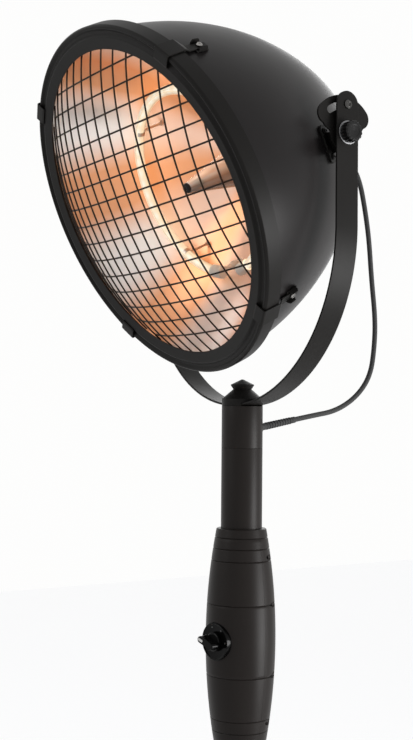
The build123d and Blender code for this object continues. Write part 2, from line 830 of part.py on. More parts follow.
def dish_arc():
    """Centre and radius of the dish's curve, through its flat edge, its middle and its mouth."""
    arc = ThreePointArc(
        (reflector_flat_r, reflector_flat_s),
        (reflector_mid_r, reflector_mid_s),
        (reflector_mouth_r, dome_front_s),
    )
    return arc.arc_center.X, arc.arc_center.Y, arc.radius


def dish_s_at(radius, grow=0.0):
    """Place of the dish's surface along the axis, at a radius."""
    centre_x, centre_y, arc_r = dish_arc()
    return centre_y - math.sqrt((arc_r + grow) ** 2 - (radius - centre_x) ** 2)


def dish_solid(grow):
    """Solid bowl whose skin lies a distance behind the dish's polished face."""
    centre_x, centre_y, arc_r = dish_arc()
    flat = (reflector_flat_r, dish_s_at(reflector_flat_r, grow))
    middle = (reflector_mid_r, dish_s_at(reflector_mid_r, grow))
    mouth = (centre_x + math.sqrt((arc_r + grow) ** 2 - (hoop_back_s - centre_y) ** 2), hoop_back_s)
    outline = make_face(
        [
            Line((0, flat[1]), flat),
            ThreePointArc(flat, middle, mouth),
            Line(mouth, (0, hoop_back_s)),
            Line((0, hoop_back_s), (0, flat[1])),
        ]
    )
    return lathe(outline)


def make_reflector():
    """Polished dish: a flat centre, a deep curve and a flange held under the guard's hoop."""
    dish = dish_solid(reflector_wall) + disc(rim_r, dome_front_s, hoop_back_s) - dish_solid(0)
    dish -= hole(centre_rod_r + slip, reflector_flat_s - 5, reflector_flat_s + 5)
    for angle in lamp_leg_angles():
        dish -= Rot(0, 0, angle) * Pos(lamp_ring_r, 0, 0) * hole(lamp_leg_r + 1, -60, lamp_s)
    return head * dish


def make_bezel_ring():
    """Pressed front ring: inner flange, raised bead, valley, rounded rim and side band."""
    front = ring_front_s
    outline = [
        (ring_mouth_r, front - 1.7),
        (bead_r, front),
        (valley_r - 1.6, front - valley_drop),
        (valley_r + 1.0, front - valley_drop),
        (valley_r + 3.4, front - 0.2),
        (ring_r - ring_corner, front - 0.2),
        (ring_r, front - ring_corner - 0.7),
        (ring_r, ring_back_s),
    ]
    return head * lathe(sheet(outline, 0, ring_wall, Side.RIGHT))


def guard_wire(across, ball_r):
    """One wire of the domed mesh, bent on the ball and cut off inside the hoop."""
    bend = math.sqrt(ball_r**2 - across**2)
    reach = math.sqrt((hoop_r - 0.3) ** 2 - (abs(across) + guard_wire_r) ** 2)
    half = math.degrees(math.asin(reach / bend))
    section = Plane.XZ * Pos(across, bend) * RegularPolygon(guard_wire_r, 4)
    wire = revolve(section, Axis.X, 2 * half)
    return Rot(-half, 0, 0) * wire


def make_guard():
    """Wire guard: two crossing layers of parallel wires on a ball, inside an angle hoop."""
    centre = Pos(0, 0, guard_apex_s - guard_ball_r) * Rot(0, 0, guard_turn)
    layer = guard_wire_r + 0.02
    level = [
        centre * Rot(0, 0, 90) * guard_wire((k - (guard_level_count - 1) / 2) * guard_pitch, guard_ball_r - layer)
        for k in range(guard_level_count)
    ]
    upright = [
        centre * guard_wire((k - (guard_upright_count - 1) / 2) * guard_pitch, guard_ball_r + layer)
        for k in range(guard_upright_count)
    ]
    hoop = disc(hoop_outer_r, hoop_back_s, hoop_back_s + hoop_t, hoop_r)
    lip_top = ring_front_s - valley_drop - ring_wall - skin_gap
    hoop += disc(hoop_outer_r, hoop_back_s, lip_top, hoop_outer_r - hoop_lip_t)
    return group([head * piece for piece in level + upright + [hoop]])


def clip_outline():
    """Side view of a clip: a hook over the ring's face, a leg along its band and a step to the dome."""
    lift = skin_gap + lug_t + 0.45  # clears the bulge of the skin under a straight tongue
    points = [
        (clip_hook_r, ring_front_s + skin_gap),
        (ring_r + skin_gap, ring_front_s + skin_gap),
        (ring_r + skin_gap, ring_back_s - 2),
        (dome_r_at(clip_step_s) + lift, clip_step_s),
        (dome_r_at(clip_end_s) + lift, clip_end_s),
    ]
    line = Polyline(*points)
    return make_face(offset(line, amount=clip_t, side=Side.LEFT, kind=Kind.INTERSECTION, closed=True).edges())


def make_ring_clips():
    """Four clips that hook the ring to the dome; wide over the ring, narrow at the screw."""
    clip = extrude(Plane.XZ * clip_outline(), clip_w / 2, both=True)
    trim = Pos(ring_r, 0, clip_end_s) * Box(60, 2 * clip_w, 2 * (clip_step_s - clip_end_s))
    clip -= trim - Pos(ring_r, 0, clip_end_s) * Box(60, tongue_w, 2 * (clip_step_s - clip_end_s) + 1)
    clip -= clip_screw_frame() * hole(small_screw_r + slip, -1, 10)
    return group([head * piece for piece in around(clip, clip_count, clip_first_angle)])


def make_clip_lugs():
    """U-shaped lugs on the dome that take the clips' tongues between their ears."""
    base = Pos(0, 0, skin_gap + lug_t / 2) * Box(lug_w, lug_len, lug_t)
    ear = Pos(0, 0, skin_gap + lug_ear_h / 2) * Box(lug_t, lug_len * 0.7, lug_ear_h)
    side = (lug_w - lug_t) / 2
    lug = base + Pos(side, 0, 0) * ear + Pos(-side, 0, 0) * ear - hole(small_screw_r + slip, 0, 5)
    return group([head * piece for piece in around(clip_screw_frame() * lug, clip_count, clip_first_angle)])


def make_clip_screws():
    top = skin_gap + lug_t + 0.6 + clip_t
    screw = shank(small_screw_r, -dome_wall - 4, top) + button(small_head_r, top, top + small_head_t)
    return group([head * piece for piece in around(clip_screw_frame() * screw, clip_count, clip_first_angle)])


def make_head_gland():
    """Cable gland on the crown: a hexagon, a tapered nose and a neck through the skin."""
    nose = Pos(0, 0, head_gland_nut_t) * Cone(
        head_gland_nut_r - 1.5, head_gland_tip_r, head_gland_len - head_gland_nut_t, align=(Align.CENTER, Align.CENTER, Align.MIN)
    )
    body = prism(head_gland_nut_r, 0.6, head_gland_nut_t) + nose + disc(head_gland_tip_r, -8, 0.6)
    return head * (gland_frame() * body)


# ------------------------------------------------------------------ heating element
def lamp_leg_angles():
    """Where the lamp's two ends stand, either side of the bottom of the ring."""
    leg = lamp_gap_half + math.degrees(lamp_cap_len / lamp_ring_r) / 2
    return [-90 - leg, -90 + leg]


def make_quartz_ring():
    """Ring-shaped quartz heating tube, open at the bottom."""
    section = Plane.XZ * Pos(lamp_ring_r, lamp_s) * RegularPolygon(quartz_r, quartz_sides)
    gap = lamp_gap_half + math.degrees(lamp_cap_len / lamp_ring_r)
    return head * (Rot(0, 0, gap - 90) * revolve(section, Axis.Z, 360 - 2 * gap))


def make_lamp_caps():
    """Ceramic ends of the lamp, with legs that pass through the reflector."""
    cap_turn = math.degrees(lamp_cap_len / lamp_ring_r)
    section = Plane.XZ * Pos(lamp_ring_r, lamp_s) * RegularPolygon(lamp_cap_r, quartz_sides)
    arc = revolve(section, Axis.Z, cap_turn)
    leg = Pos(lamp_ring_r, 0, 0) * disc(lamp_leg_r, reflector_mid_s - 14, lamp_s - lamp_cap_r + 1)
    right = Rot(0, 0, lamp_gap_half - 90) * (arc + Rot(0, 0, cap_turn / 2) * leg)
    return group([head * piece for piece in both_sides(right)])


def make_lamp_holders():
    """Spring clips on posts that carry the quartz ring in front of the dish."""
    ring = RegularPolygon(quartz_r + holder_t + 0.1, quartz_sides) - RegularPolygon(quartz_r + 0.1, quartz_sides)
    ring -= Pos(0, quartz_r) * Rectangle(quartz_r, 2 * quartz_r)
    clip = extrude(Plane.XZ * Pos(lamp_ring_r, lamp_s) * ring, holder_w / 2, both=True)
    low = dish_s_at(lamp_ring_r + holder_rod_r) + 0.1
    post = Pos(lamp_ring_r, 0, 0) * shank(holder_rod_r, low, lamp_s - quartz_r - 0.3)
    return group([head * (Rot(0, 0, angle) * (clip + post)) for angle in holder_angles])


def make_reflector_cone():
    """Polished cone in the middle of the dish."""
    base_s = reflector_flat_s + 0.1
    outline = [
        (centre_rod_r + slip, cone_tip_s),
        (cone_tip_r, cone_tip_s),
        (reflector_flat_r - 2, base_s + 2.0),
        (reflector_flat_r - 2, base_s),
    ]
    return head * lathe(sheet(outline, 0, cone_wall, Side.RIGHT))


def make_centre_screw():
    """Dark cap screw at the cone's tip; its rod holds cone, dish and terminal plate together."""
    body = prism(tip_head_r, cone_tip_s, cone_tip_s + tip_head_t, 16)
    body += shank(centre_rod_r, centre_rod_back_s, cone_tip_s)
    nut_top = reflector_flat_s - reflector_wall - 0.1
    body += prism(centre_rod_r * 2, nut_top - 5, nut_top)
    return head * body


def make_terminal_plate():
    """Small steel plate behind the dish that carries the terminal block."""
    low = centre_rod_back_s + 2
    return head * disc(bracket_disc_r, low, low + bracket_disc_t, centre_rod_r + slip)


def make_terminal_block():
    low = centre_rod_back_s + 2 - terminal_h
    body = Pos(0, -terminal_w, low + terminal_h / 2) * Box(terminal_len, terminal_w, terminal_h)
    for x in (-terminal_len / 3, 0, terminal_len / 3):
        body -= Pos(x, -terminal_w, low + terminal_h / 2) * Box(5, 5, 2 * terminal_h)
    return head * body


# ------------------------------------------------------------------ cable
def cable_route():
    """Points of the lead: gland tip, a straight run out of it, the hanging loop, sleeve tip."""
    gland = gland_frame()
    tip = head.from_local_coords(gland.origin + gland.z_dir * head_gland_len)
    out = head.from_local_coords(gland.origin + gland.z_dir * (head_gland_len + cable_first_run))
    sleeve = sleeve_frame()
    end = sleeve.origin + sleeve.z_dir * (tube_r + sleeve_len)
    straight = end + sleeve.z_dir * sleeve_cable_run
    return [tip, out] + [Vector(0, y, z) for y, z in cable_points] + [straight, end]


def bend_radii(route):
    """Largest bend that the two runs beside each point allow."""
    radii = []
    for before, here, after in zip(route, route[1:], route[2:]):
        turn = (here - before).get_angle(after - here)
        shorter = min((here - before).length, (after - here).length)
        radii.append(0.45 * shorter / math.tan(math.radians(turn / 2)))
    return radii


def make_head_cable():
    route = cable_route()
    radii = bend_radii(route)
    path = FilletPolyline(*route, radius=radii)
    start = Plane(origin=path @ 0, z_dir=path % 0)
    section = RegularPolygon(cable_r * cable_corner_share, cable_sides)
    lead = sweep(start * section, path=path)
    print("cable length", round(path.length, 1), "volume", round(lead.volume), "section x length",
          round(section.area * path.length), "radii", [round(r) for r in radii])
    return lead


# ------------------------------------------------------------------ all nodes
nodes = {
    "base_weight": make_base_weight(),
    "base_cover": make_base_cover(),
    "base_feet": make_base_feet(),
    "post_flange": make_post_flange(),
    "flange_bolts": make_flange_bolts(),
    "lower_pole": make_lower_pole(),
    "pole_coupler": make_pole_coupler(),
    "middle_pole": make_middle_pole(),
    "pole_screws": make_pole_screws(),
    "mains_gland": make_mains_gland(),
    "housing_front": make_housing_shell(True),
    "housing_rear": make_housing_shell(False),
    "housing_screws": make_housing_screws(),
    "post_spine": make_spine(),
    "switch_plate": make_switch_plate(),
    "dial_dots": make_dial_dots(),
    "switch_body": make_switch_body(),
    "switch_knob": make_switch_knob(),
    "switch_marker": make_switch_marker(),
    "upper_tube": make_upper_tube(),
    "top_section": make_top_section(),
    "top_coupler": make_top_coupler(),
    "top_plug": make_top_plug(),
    "yoke_strap": make_yoke_strap(),
    "cone_cap": make_cone_cap(),
    "finial": make_finial(),
    "post_gland": make_post_gland(),
    "pivot_bolts": group(both_sides(make_pivot_bolt())),
    "bracket_spacers": group(both_sides(make_spacer())),
    "strap_washers": group(both_sides(make_strap_washer())),
    "stop_screws": group(both_sides(make_stop_screw())),
    "bracket_screws": group([side for screw in make_pad_screws() for side in both_sides(screw)]),
    "dome_shell": make_dome_shell(),
    "reflector": make_reflector(),
    "bezel_ring": make_bezel_ring(),
    "wire_guard": make_guard(),
    "ring_clips": make_ring_clips(),
    "clip_lugs": make_clip_lugs(),
    "clip_screws": make_clip_screws(),
    "head_gland": make_head_gland(),
    "quartz_ring": make_quartz_ring(),
    "lamp_caps": make_lamp_caps(),
    "lamp_holders": make_lamp_holders(),
    "reflector_cone": make_reflector_cone(),
    "centre_screw": make_centre_screw(),
    "terminal_plate": make_terminal_plate(),
    "terminal_block": make_terminal_block(),
    "head_cable": make_head_cable(),
}
nodes["bracket_right"], nodes["bracket_left"] = both_sides(make_bracket())
nodes["tilt_knob_right"], nodes["tilt_knob_left"] = both_sides(make_tilt_knob())

os.makedirs("parts", exist_ok=True)
for name, shape in nodes.items():
    export_step(shape, f"parts/{name}.step")
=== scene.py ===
import json
import logging
import math
from dataclasses import dataclass, field
from enum import Enum
from typing import Callable, List, Optional, Sequence, Tuple

import bmesh
import bpy
import numpy as np
from mathutils import Matrix, Vector

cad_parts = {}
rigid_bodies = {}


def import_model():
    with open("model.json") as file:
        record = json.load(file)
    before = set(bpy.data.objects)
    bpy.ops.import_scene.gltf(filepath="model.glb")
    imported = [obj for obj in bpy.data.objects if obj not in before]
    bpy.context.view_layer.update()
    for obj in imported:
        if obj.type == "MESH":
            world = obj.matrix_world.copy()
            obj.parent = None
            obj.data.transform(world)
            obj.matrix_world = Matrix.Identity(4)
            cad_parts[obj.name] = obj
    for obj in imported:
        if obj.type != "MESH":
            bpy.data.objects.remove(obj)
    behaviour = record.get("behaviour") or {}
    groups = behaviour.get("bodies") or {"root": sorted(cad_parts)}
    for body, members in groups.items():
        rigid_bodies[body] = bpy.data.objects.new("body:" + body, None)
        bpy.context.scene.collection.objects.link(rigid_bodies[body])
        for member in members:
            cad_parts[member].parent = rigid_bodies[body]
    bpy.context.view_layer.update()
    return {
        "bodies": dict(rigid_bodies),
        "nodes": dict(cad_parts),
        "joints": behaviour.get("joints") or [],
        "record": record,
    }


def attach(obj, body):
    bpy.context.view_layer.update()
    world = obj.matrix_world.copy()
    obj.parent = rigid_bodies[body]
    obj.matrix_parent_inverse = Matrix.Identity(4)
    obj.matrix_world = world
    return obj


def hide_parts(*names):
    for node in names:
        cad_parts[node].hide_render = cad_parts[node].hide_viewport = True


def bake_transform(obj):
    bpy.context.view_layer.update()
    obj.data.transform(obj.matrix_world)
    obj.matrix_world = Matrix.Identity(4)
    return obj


LOG = logging.getLogger("heater_tower")
Array = np.ndarray
Piece = bpy.types.Object
Shape = Callable[[Array, Array], Array]
Triple = Tuple[float, float, float]
Points = Sequence[Sequence[float]]
TAU = 2.0 * math.pi
WELD = 2e-6
SLIVER = 1e-7
SMOOTH = 32.0
SMALL_SCREW = (0.0036, 0.0022, 0.0014, 0.0011)


# ---------------------------------------------------------------- outlines and frames


def unit(vectors: Array) -> Array:
    """Vectors of length 1 along the last axis."""
    return vectors / np.linalg.norm(vectors, axis=-1, keepdims=True)


def polar(radius: Array, angle: Array) -> Array:
    """Points of a plane: the radius times the cosine and sine of the angle, as the last axis."""
    radius, angle = np.broadcast_arrays(radius, angle)
    return np.stack([radius * np.cos(angle), radius * np.sin(angle)], axis=-1)


def rounded(points: Points, radius: float, steps: int = 5, closed: bool = False) -> Array:
    """Rounds the corners of a line of straight runs.

    Each corner becomes a quadratic curve that leaves the runs at a distance of the radius times the
    tangent of half the turn, and at most 0.45 of the shorter run.

    Args:
        points: Corners of the line.
        radius: Bend radius in metres.
        steps: Points per corner.
        closed: Whether the last point runs on to the first.

    Returns:
        The rounded line as an (n, 2) array.
    """
    p = np.asarray(points, float)
    a, b = np.roll(p, 1, 0) - p, np.roll(p, -1, 0) - p
    la, lb, ua, ub = np.linalg.norm(a, axis=1), np.linalg.norm(b, axis=1), unit(a), unit(b)
    half_turn = (math.pi - np.arccos(np.clip((ua * ub).sum(1), -1, 1))) / 2
    reach = np.minimum(radius * np.tan(half_turn), 0.45 * np.minimum(la, lb))
    start, end = p + ua * reach[:, None], p + ub * reach[:, None]
    t = np.linspace(0, 1, steps)[None, :, None]
    curve = (1 - t) ** 2 * start[:, None] + 2 * t * (1 - t) * p[:, None] + t**2 * end[:, None]
    if closed:
        return curve.reshape(-1, 2)
    return np.concatenate([p[:1], curve[1:-1].reshape(-1, 2), p[-1:]])


def circle_through(a: Sequence[float], b: Sequence[float],
                   c: Sequence[float]) -> Tuple[Array, float]:
    """Circle through three points.

    The centre solves the two linear equations that say it is as far from a as from b and from c.

    Args:
        a: First point of the plane.
        b: Second point.
        c: Third point.

    Returns:
        The centre and the radius.
    """
    pa, pb, pc = (np.asarray(q, float) for q in (a, b, c))
    matrix = 2 * np.array([pb - pa, pc - pa])
    centre = np.linalg.solve(matrix, np.array([pb @ pb - pa @ pa, pc @ pc - pa @ pa]))
    return centre, float(np.linalg.norm(pa - centre))


def sheet_profile(line: Array, wall: float) -> Array:
    """Closed outline of sheet metal: the line, and the same line moved by the wall to its right.

    Args:
        line: (n, 2) line of the outer face.
        wall: Thickness in metres.

    Returns:
        A closed (2n, 2) outline.
    """
    right = unit(np.gradient(line, axis=0))[:, ::-1] * [1, -1]
    return np.concatenate([line, (line + right * wall)[::-1]])


def at_height(outline: Array, height: float) -> Array:
    """The outline's points with a height as their last coordinate."""
    return np.column_stack([outline, np.full(len(outline), height)])


def frame_matrix(origin: Sequence[float], x: Sequence[float], z: Sequence[float]) -> Array:
    """Frame from its x and z axes; y is z cross x.

    Args:
        origin: Origin of the frame.
        x: Direction of its x axis, made square to z.
        z: Direction of its z axis.

    Returns:
        A 4 by 4 matrix.
    """
    zx = unit(np.asarray(z, float))
    xx = unit(np.asarray(x, float) - zx * (np.asarray(x, float) @ zx))
    m = np.eye(4)
    m[:3, 0], m[:3, 1], m[:3, 2], m[:3, 3] = xx, np.cross(zx, xx), zx, origin
    return m


def moved(frame: Array, x: float = 0.0, y: float = 0.0, z: float = 0.0) -> Array:
    """The frame, moved along its own axes."""
    return frame @ np.array([[1, 0, 0, x], [0, 1, 0, y], [0, 0, 1, z], [0, 0, 0, 1.0]])


def turned(frame: Array, angle: float) -> Array:
    """The frame, turned about its own z axis."""
    c, s = math.cos(angle), math.sin(angle)
    return frame @ np.array([[c, -s, 0, 0], [s, c, 0, 0], [0, 0, 1, 0], [0, 0, 0, 1.0]])


def place(matrix: Array, points: Array) -> Array:
    """Moves points of any grid shape by a 4 by 4 matrix."""
    return points @ matrix[:3, :3].T + matrix[:3, 3]


class Side(Enum):
    """The two arms of the yoke."""

    RIGHT = 1
    LEFT = -1

    def frame(self, height: float) -> Array:
        """Frame at a height on the middle plane: x up, z outwards to this arm."""
        return frame_matrix((0, 0, height), (0, 0, 1), (self.value, 0, 0))


def hexed(limit: float) -> Shape:
    """Makes radii up to a limit follow a hexagon.

    Args:
        limit: Largest radius that changes.

    Returns:
        A function of radius and angle: the radius times the cosine of 30 degrees over the cosine of
        the angle off the nearest face.
    """

    def shape(radius: Array, angle: Array) -> Array:
        """Radius on the hexagon."""
        off = np.mod(angle, math.pi / 3) - math.pi / 6
        return np.where(radius <= limit, radius * math.cos(math.pi / 6) / np.cos(off), radius)

    return shape


# ---------------------------------------------------------------- meshes


def put_in_scene(name: str, data: bpy.types.ID) -> Piece:
    """Makes an object and links it.

    Args:
        name: Name of the object.
        data: Its mesh, curve, lamp or camera.

    Returns:
        The object.
    """
    made = bpy.data.objects.new(name, data)
    bpy.context.scene.collection.objects.link(made)
    return made


def settled(piece: Piece) -> bpy.types.Mesh:
    """Works out a piece's curve or its modifiers.

    Args:
        piece: The piece.

    Returns:
        The mesh that results.
    """
    bpy.context.view_layer.update()
    worked_out = piece.evaluated_get(bpy.context.evaluated_depsgraph_get())
    return bpy.data.meshes.new_from_object(worked_out)


def clean(mesh: bpy.types.Mesh, matrix: Optional[Array] = None) -> None:
    """Welds a mesh's doubles, places it or else dissolves its slivers, and turns faces outwards.

    Args:
        mesh: The mesh.
        matrix: Where to place it, if anywhere.
    """
    work = bmesh.new()
    work.from_mesh(mesh)
    bmesh.ops.remove_doubles(work, verts=work.verts, dist=WELD)
    if matrix is None:
        bmesh.ops.dissolve_degenerate(work, edges=work.edges, dist=SLIVER)
    else:
        bmesh.ops.transform(work, matrix=Matrix(matrix.tolist()), verts=work.verts)
    bmesh.ops.recalc_face_normals(work, faces=work.faces)
    work.to_mesh(mesh)
    work.free()


def soften(mesh: bpy.types.Mesh, degrees: float) -> None:
    """Smooths shallow edges.

    Args:
        mesh: The mesh.
        degrees: Edges flatter than this are smooth; at 0 none is.
    """
    mesh.polygons.foreach_set("use_smooth", np.full(len(mesh.polygons), degrees > 0))
    if degrees:
        mesh.set_sharp_from_angle(angle=math.radians(degrees))


class MeshDraft:
    """Collects grids, prisms and tubes as whole arrays and turns them into one mesh object.

    Every method that adds a form gives back the draft, so that calls can follow each other.
    """

    def __init__(self) -> None:
        """Starts empty."""
        self.points: List[Array] = []
        self.faces: List[Sequence[int]] = []
        self.coords: List[Array] = []
        self.count = 0

    def keep(self, points: Array, coords: Array) -> None:
        """Keeps a batch of points.

        Args:
            points: (n, 3) array.
            coords: Their (n, 2) coordinates on the surface.
        """
        self.points.append(points)
        self.coords.append(coords)
        self.count += len(points)

    def grid(self, points: Array, wrap_u: bool = False, wrap_v: bool = False,
             uv: Optional[Array] = None, caps: bool = False) -> "MeshDraft":
        """Adds a surface given on a grid of two parameters.

        Args:
            points: (m, n, 3) array of the surface's points.
            wrap_u: Joins the last row to the first.
            wrap_v: Joins the last column to the first.
            uv: Optional (m, n, 2) array of the surface's own coordinates.
            caps: Closes the first and the last row with one face each.

        Returns:
            This draft.
        """
        m, n = points.shape[:2]
        index = np.arange(m * n).reshape(m, n) + self.count
        rows = np.concatenate([index, index[:1]]) if wrap_u else index
        rows = np.concatenate([rows, rows[:, :1]], 1) if wrap_v else rows
        quads = np.stack([rows[:-1, :-1], rows[1:, :-1], rows[1:, 1:], rows[:-1, 1:]], -1)
        self.faces += quads.reshape(-1, 4).tolist()
        coords = np.zeros((m, n, 2)) if uv is None else uv
        self.keep(points.reshape(-1, 3), coords.reshape(-1, 2))
        return self.cap(points[0]).cap(points[-1]) if caps else self

    def cap(self, ring: Array) -> "MeshDraft":
        """Closes a ring of points with one face.

        Args:
            ring: (n, 3) array.

        Returns:
            This draft.
        """
        self.faces.append(list(range(self.count, self.count + len(ring))))
        self.keep(ring, np.zeros((len(ring), 2)))
        return self

    def lathe(self, profile: Points, matrix: Array = np.eye(4), segments: int = 96,
              closed: bool = True, start: float = 0.0, turn: float = TAU,
              shape: Optional[Shape] = None) -> "MeshDraft":
        """Turns an outline round the frame's z axis: x = r cos a, y = r sin a, z = height.

        Args:
            profile: (k, 2) outline of radius and height.
            matrix: Frame that the piece is placed in.
            segments: Steps round the axis.
            closed: Whether the outline is a loop.
            start: First angle in radians.
            turn: Angle turned through; a full turn joins up.
            shape: Optional function of radius and angle that gives the radius.

        Returns:
            This draft.
        """
        full = abs(turn - TAU) < 1e-9
        angle = start + np.linspace(0, turn, segments + (0 if full else 1), endpoint=not full)
        radius, height = (np.repeat(np.asarray(profile)[:, [k]], len(angle), 1) for k in (0, 1))
        if shape is not None:
            radius = shape(radius, angle[None, :])
        points = np.stack([radius * np.cos(angle), radius * np.sin(angle), height], -1)
        points = place(matrix, points)
        self.grid(points, wrap_u=closed, wrap_v=full)
        if closed and not full:
            self.cap(points[:, 0]).cap(points[:, -1])
        return self

    def pin(self, radius: float, low: float, high: float, matrix: Array, segments: int = 16,
            sides: float = 0.0) -> "MeshDraft":
        """Plain pin round the frame's z axis, or a hexagon with this largest radius.

        Args:
            radius: Radius of the pin.
            low: Height of its foot.
            high: Height of its top.
            matrix: Frame that the pin stands in.
            segments: Steps round it.
            sides: Limit of the hexagon; 0 leaves the pin round.

        Returns:
            This draft.
        """
        outline = [(0, low), (radius, low), (radius, high), (0, high)]
        shape = hexed(sides) if sides else None
        return self.lathe(outline, matrix, segments, closed=False, shape=shape)

    def screw(self, sizes: Sequence[float], matrix: Array, segments: int) -> "MeshDraft":
        """Domed screw head with a hexagonal, round-bottomed socket.

        Args:
            sizes: Radius and height of the head, radius and depth of the socket.
            matrix: Frame whose z axis points out of the head, its origin under the head.
            segments: Steps round the head.

        Returns:
            This draft.
        """
        radius, height, inner, depth = sizes
        low = height - depth
        dome = rounded([(0, low), (inner * 0.8, low), (inner, height - depth * 0.8),
                        (inner, height), (radius * 0.7, height * 0.97), (radius, height * 0.45),
                        (radius, 0.0)], 0.0004)
        return self.lathe(np.concatenate([dome, [[0.0, 0.0]]]), matrix, segments, closed=False,
                          shape=hexed(inner))

    def tube(self, path: Array, radius: Array, normal: Array, sides: int = 12) -> "MeshDraft":
        """Round tube along lines that each lie in a plane.

        A ring at each point is p + radius (cos a n + sin a b), where n is the plane's normal and b
        the line's direction cross n. Several lines at once are a (lines, n, 3) array.

        Args:
            path: Points of one line or of several lines of the same length.
            radius: One radius, or one for each point.
            normal: Normal of the plane.
            sides: Points round the tube.

        Returns:
            This draft.
        """
        lines = path[None] if path.ndim == 2 else path
        tangent = unit(np.gradient(lines, axis=1))
        across = unit(np.cross(tangent, normal))
        other = np.cross(across, tangent)
        angle = np.linspace(0, TAU, sides, endpoint=False)
        r = np.broadcast_to(np.asarray(radius, float), lines.shape[1:2])[None, :, None, None]
        rings = lines[:, :, None] + r * (np.cos(angle)[:, None] * other[:, :, None]
                                         + np.sin(angle)[:, None] * across[:, :, None])
        steps = np.linalg.norm(np.diff(lines[0], axis=0), axis=1)
        along = np.concatenate([[0], np.cumsum(steps)])
        uv = np.stack(np.meshgrid(along, angle / TAU, indexing="ij"), -1)
        for ring in rings:  # one pass per line, each a whole array
            self.grid(ring, wrap_v=True, uv=uv, caps=True)
        return self

    def prism(self, outline: Array, low: float, high: float, matrix: Array,
              edge: float = 0.0) -> "MeshDraft":
        """Solid between two heights of a closed outline, with a small chamfer on both rims.

        Args:
            outline: (n, 2) counter-clockwise outline.
            low: Lower height.
            high: Upper height.
            matrix: Frame that the piece is placed in.
            edge: Size of the chamfer.

        Returns:
            This draft.
        """
        tangent = unit(np.roll(outline, -1, 0) - np.roll(outline, 1, 0))
        inset = outline - tangent[:, ::-1] * [1, -1] * edge
        levels = [(inset, low), (outline, low + edge), (outline, high - edge), (inset, high)]
        points = np.stack([at_height(*level) for level in levels])
        return self.grid(place(matrix, points), wrap_v=True, caps=True)

    def strip(self, path: Array, width: Array, thickness: float, across: Array,
              edge: float) -> "MeshDraft":
        """Flat bar along a line in one plane, with eased edges and a width that may change.

        The section at each point is a rectangle with cut corners: width along the plane's normal
        and thickness across the line.

        Args:
            path: (n, 3) middle line.
            width: One width, or one for each point.
            thickness: Thickness of the bar.
            across: Unit normal of the line's plane.
            edge: Size of the cut corners.

        Returns:
            This draft.
        """
        up = np.cross(unit(np.gradient(path, axis=0)), across)
        w = np.broadcast_to(np.asarray(width, float) / 2, (len(path),))
        t = thickness / 2
        a = np.stack([w - edge, w, w, w - edge], 1)
        a = np.concatenate([a, -a[:, ::-1]], 1)
        b = np.array([-t, -t + edge, t - edge, t, t, t - edge, -t + edge, -t])
        rings = path[:, None] + a[..., None] * across + b[None, :, None] * up[:, None]
        return self.grid(rings, wrap_v=True, caps=True)

    def build(self, name: str, smooth: float = SMOOTH, keep_uv: bool = False) -> Piece:
        """Makes the object, closes poles, turns faces outwards and smooths shallow edges.

        Args:
            name: Name of the piece.
            smooth: Edges flatter than this many degrees are smooth.
            keep_uv: Whether the drafts' own coordinates go into a UV map.

        Returns:
            The new object, at the origin.
        """
        mesh = bpy.data.meshes.new(name)
        mesh.from_pydata(np.concatenate(self.points).tolist(), [], self.faces)
        if keep_uv:
            layer = mesh.uv_layers.new(name="along")
            loops = np.zeros(len(mesh.loops), np.int32)
            mesh.loops.foreach_get("vertex_index", loops)
            own = np.concatenate(self.coords)[loops].astype(np.float32)
            layer.data.foreach_set("uv", own.ravel())
        clean(mesh)
        soften(mesh, smooth)
        return put_in_scene(name, mesh)


def plate_with_holes(name: str, outlines: Sequence[Array], thickness: float, matrix: Array,
                     edge: float) -> Piece:
    """Flat plate cut from outlines: a filled flat curve with a thickness, made a mesh and placed.

    Args:
        name: Name of the piece.
        outlines: The outer outline and those of the holes, each (n, 2).
        thickness: Thickness of the plate.
        matrix: Frame whose z axis is the plate's normal, at mid thickness.
        edge: Bevel of the rims.

    Returns:
        The new object, at the origin.
    """
    curve = bpy.data.curves.new(name + "_outline", "CURVE")
    curve.dimensions = "2D"
    curve.fill_mode = "BOTH"
    curve.extrude = thickness / 2 - edge
    curve.bevel_depth = edge
    curve.bevel_resolution = 1
    for outline in outlines:
        spline = curve.splines.new("POLY")
        spline.points.add(len(outline) - 1)
        flat = np.column_stack([outline, np.zeros(len(outline)), np.ones(len(outline))])
        spline.points.foreach_set("co", flat.ravel())
        spline.use_cyclic_u = True
    holder = put_in_scene(name + "_outline", curve)
    mesh = settled(holder)
    bpy.data.objects.remove(holder)
    clean(mesh, matrix)
    mesh.name = name
    soften(mesh, 0)
    return put_in_scene(name, mesh)


def cut_away(piece: Piece, tools: Sequence[Piece]) -> Piece:
    """Cuts tool bodies out of a piece and removes the tools.

    Args:
        piece: The piece to cut.
        tools: Closed meshes to take away.

    Returns:
        The same piece.
    """
    for tool in tools:
        cut = piece.modifiers.new("cut", "BOOLEAN")
        cut.operation, cut.solver, cut.object = "DIFFERENCE", "EXACT", tool
    mesh = settled(piece)
    piece.modifiers.clear()
    old, piece.data = piece.data, mesh
    bpy.data.meshes.remove(old)
    soften(mesh, SMOOTH)
    for tool in tools:
        bpy.data.objects.remove(tool)
    return piece


# ---------------------------------------------------------------- finishes


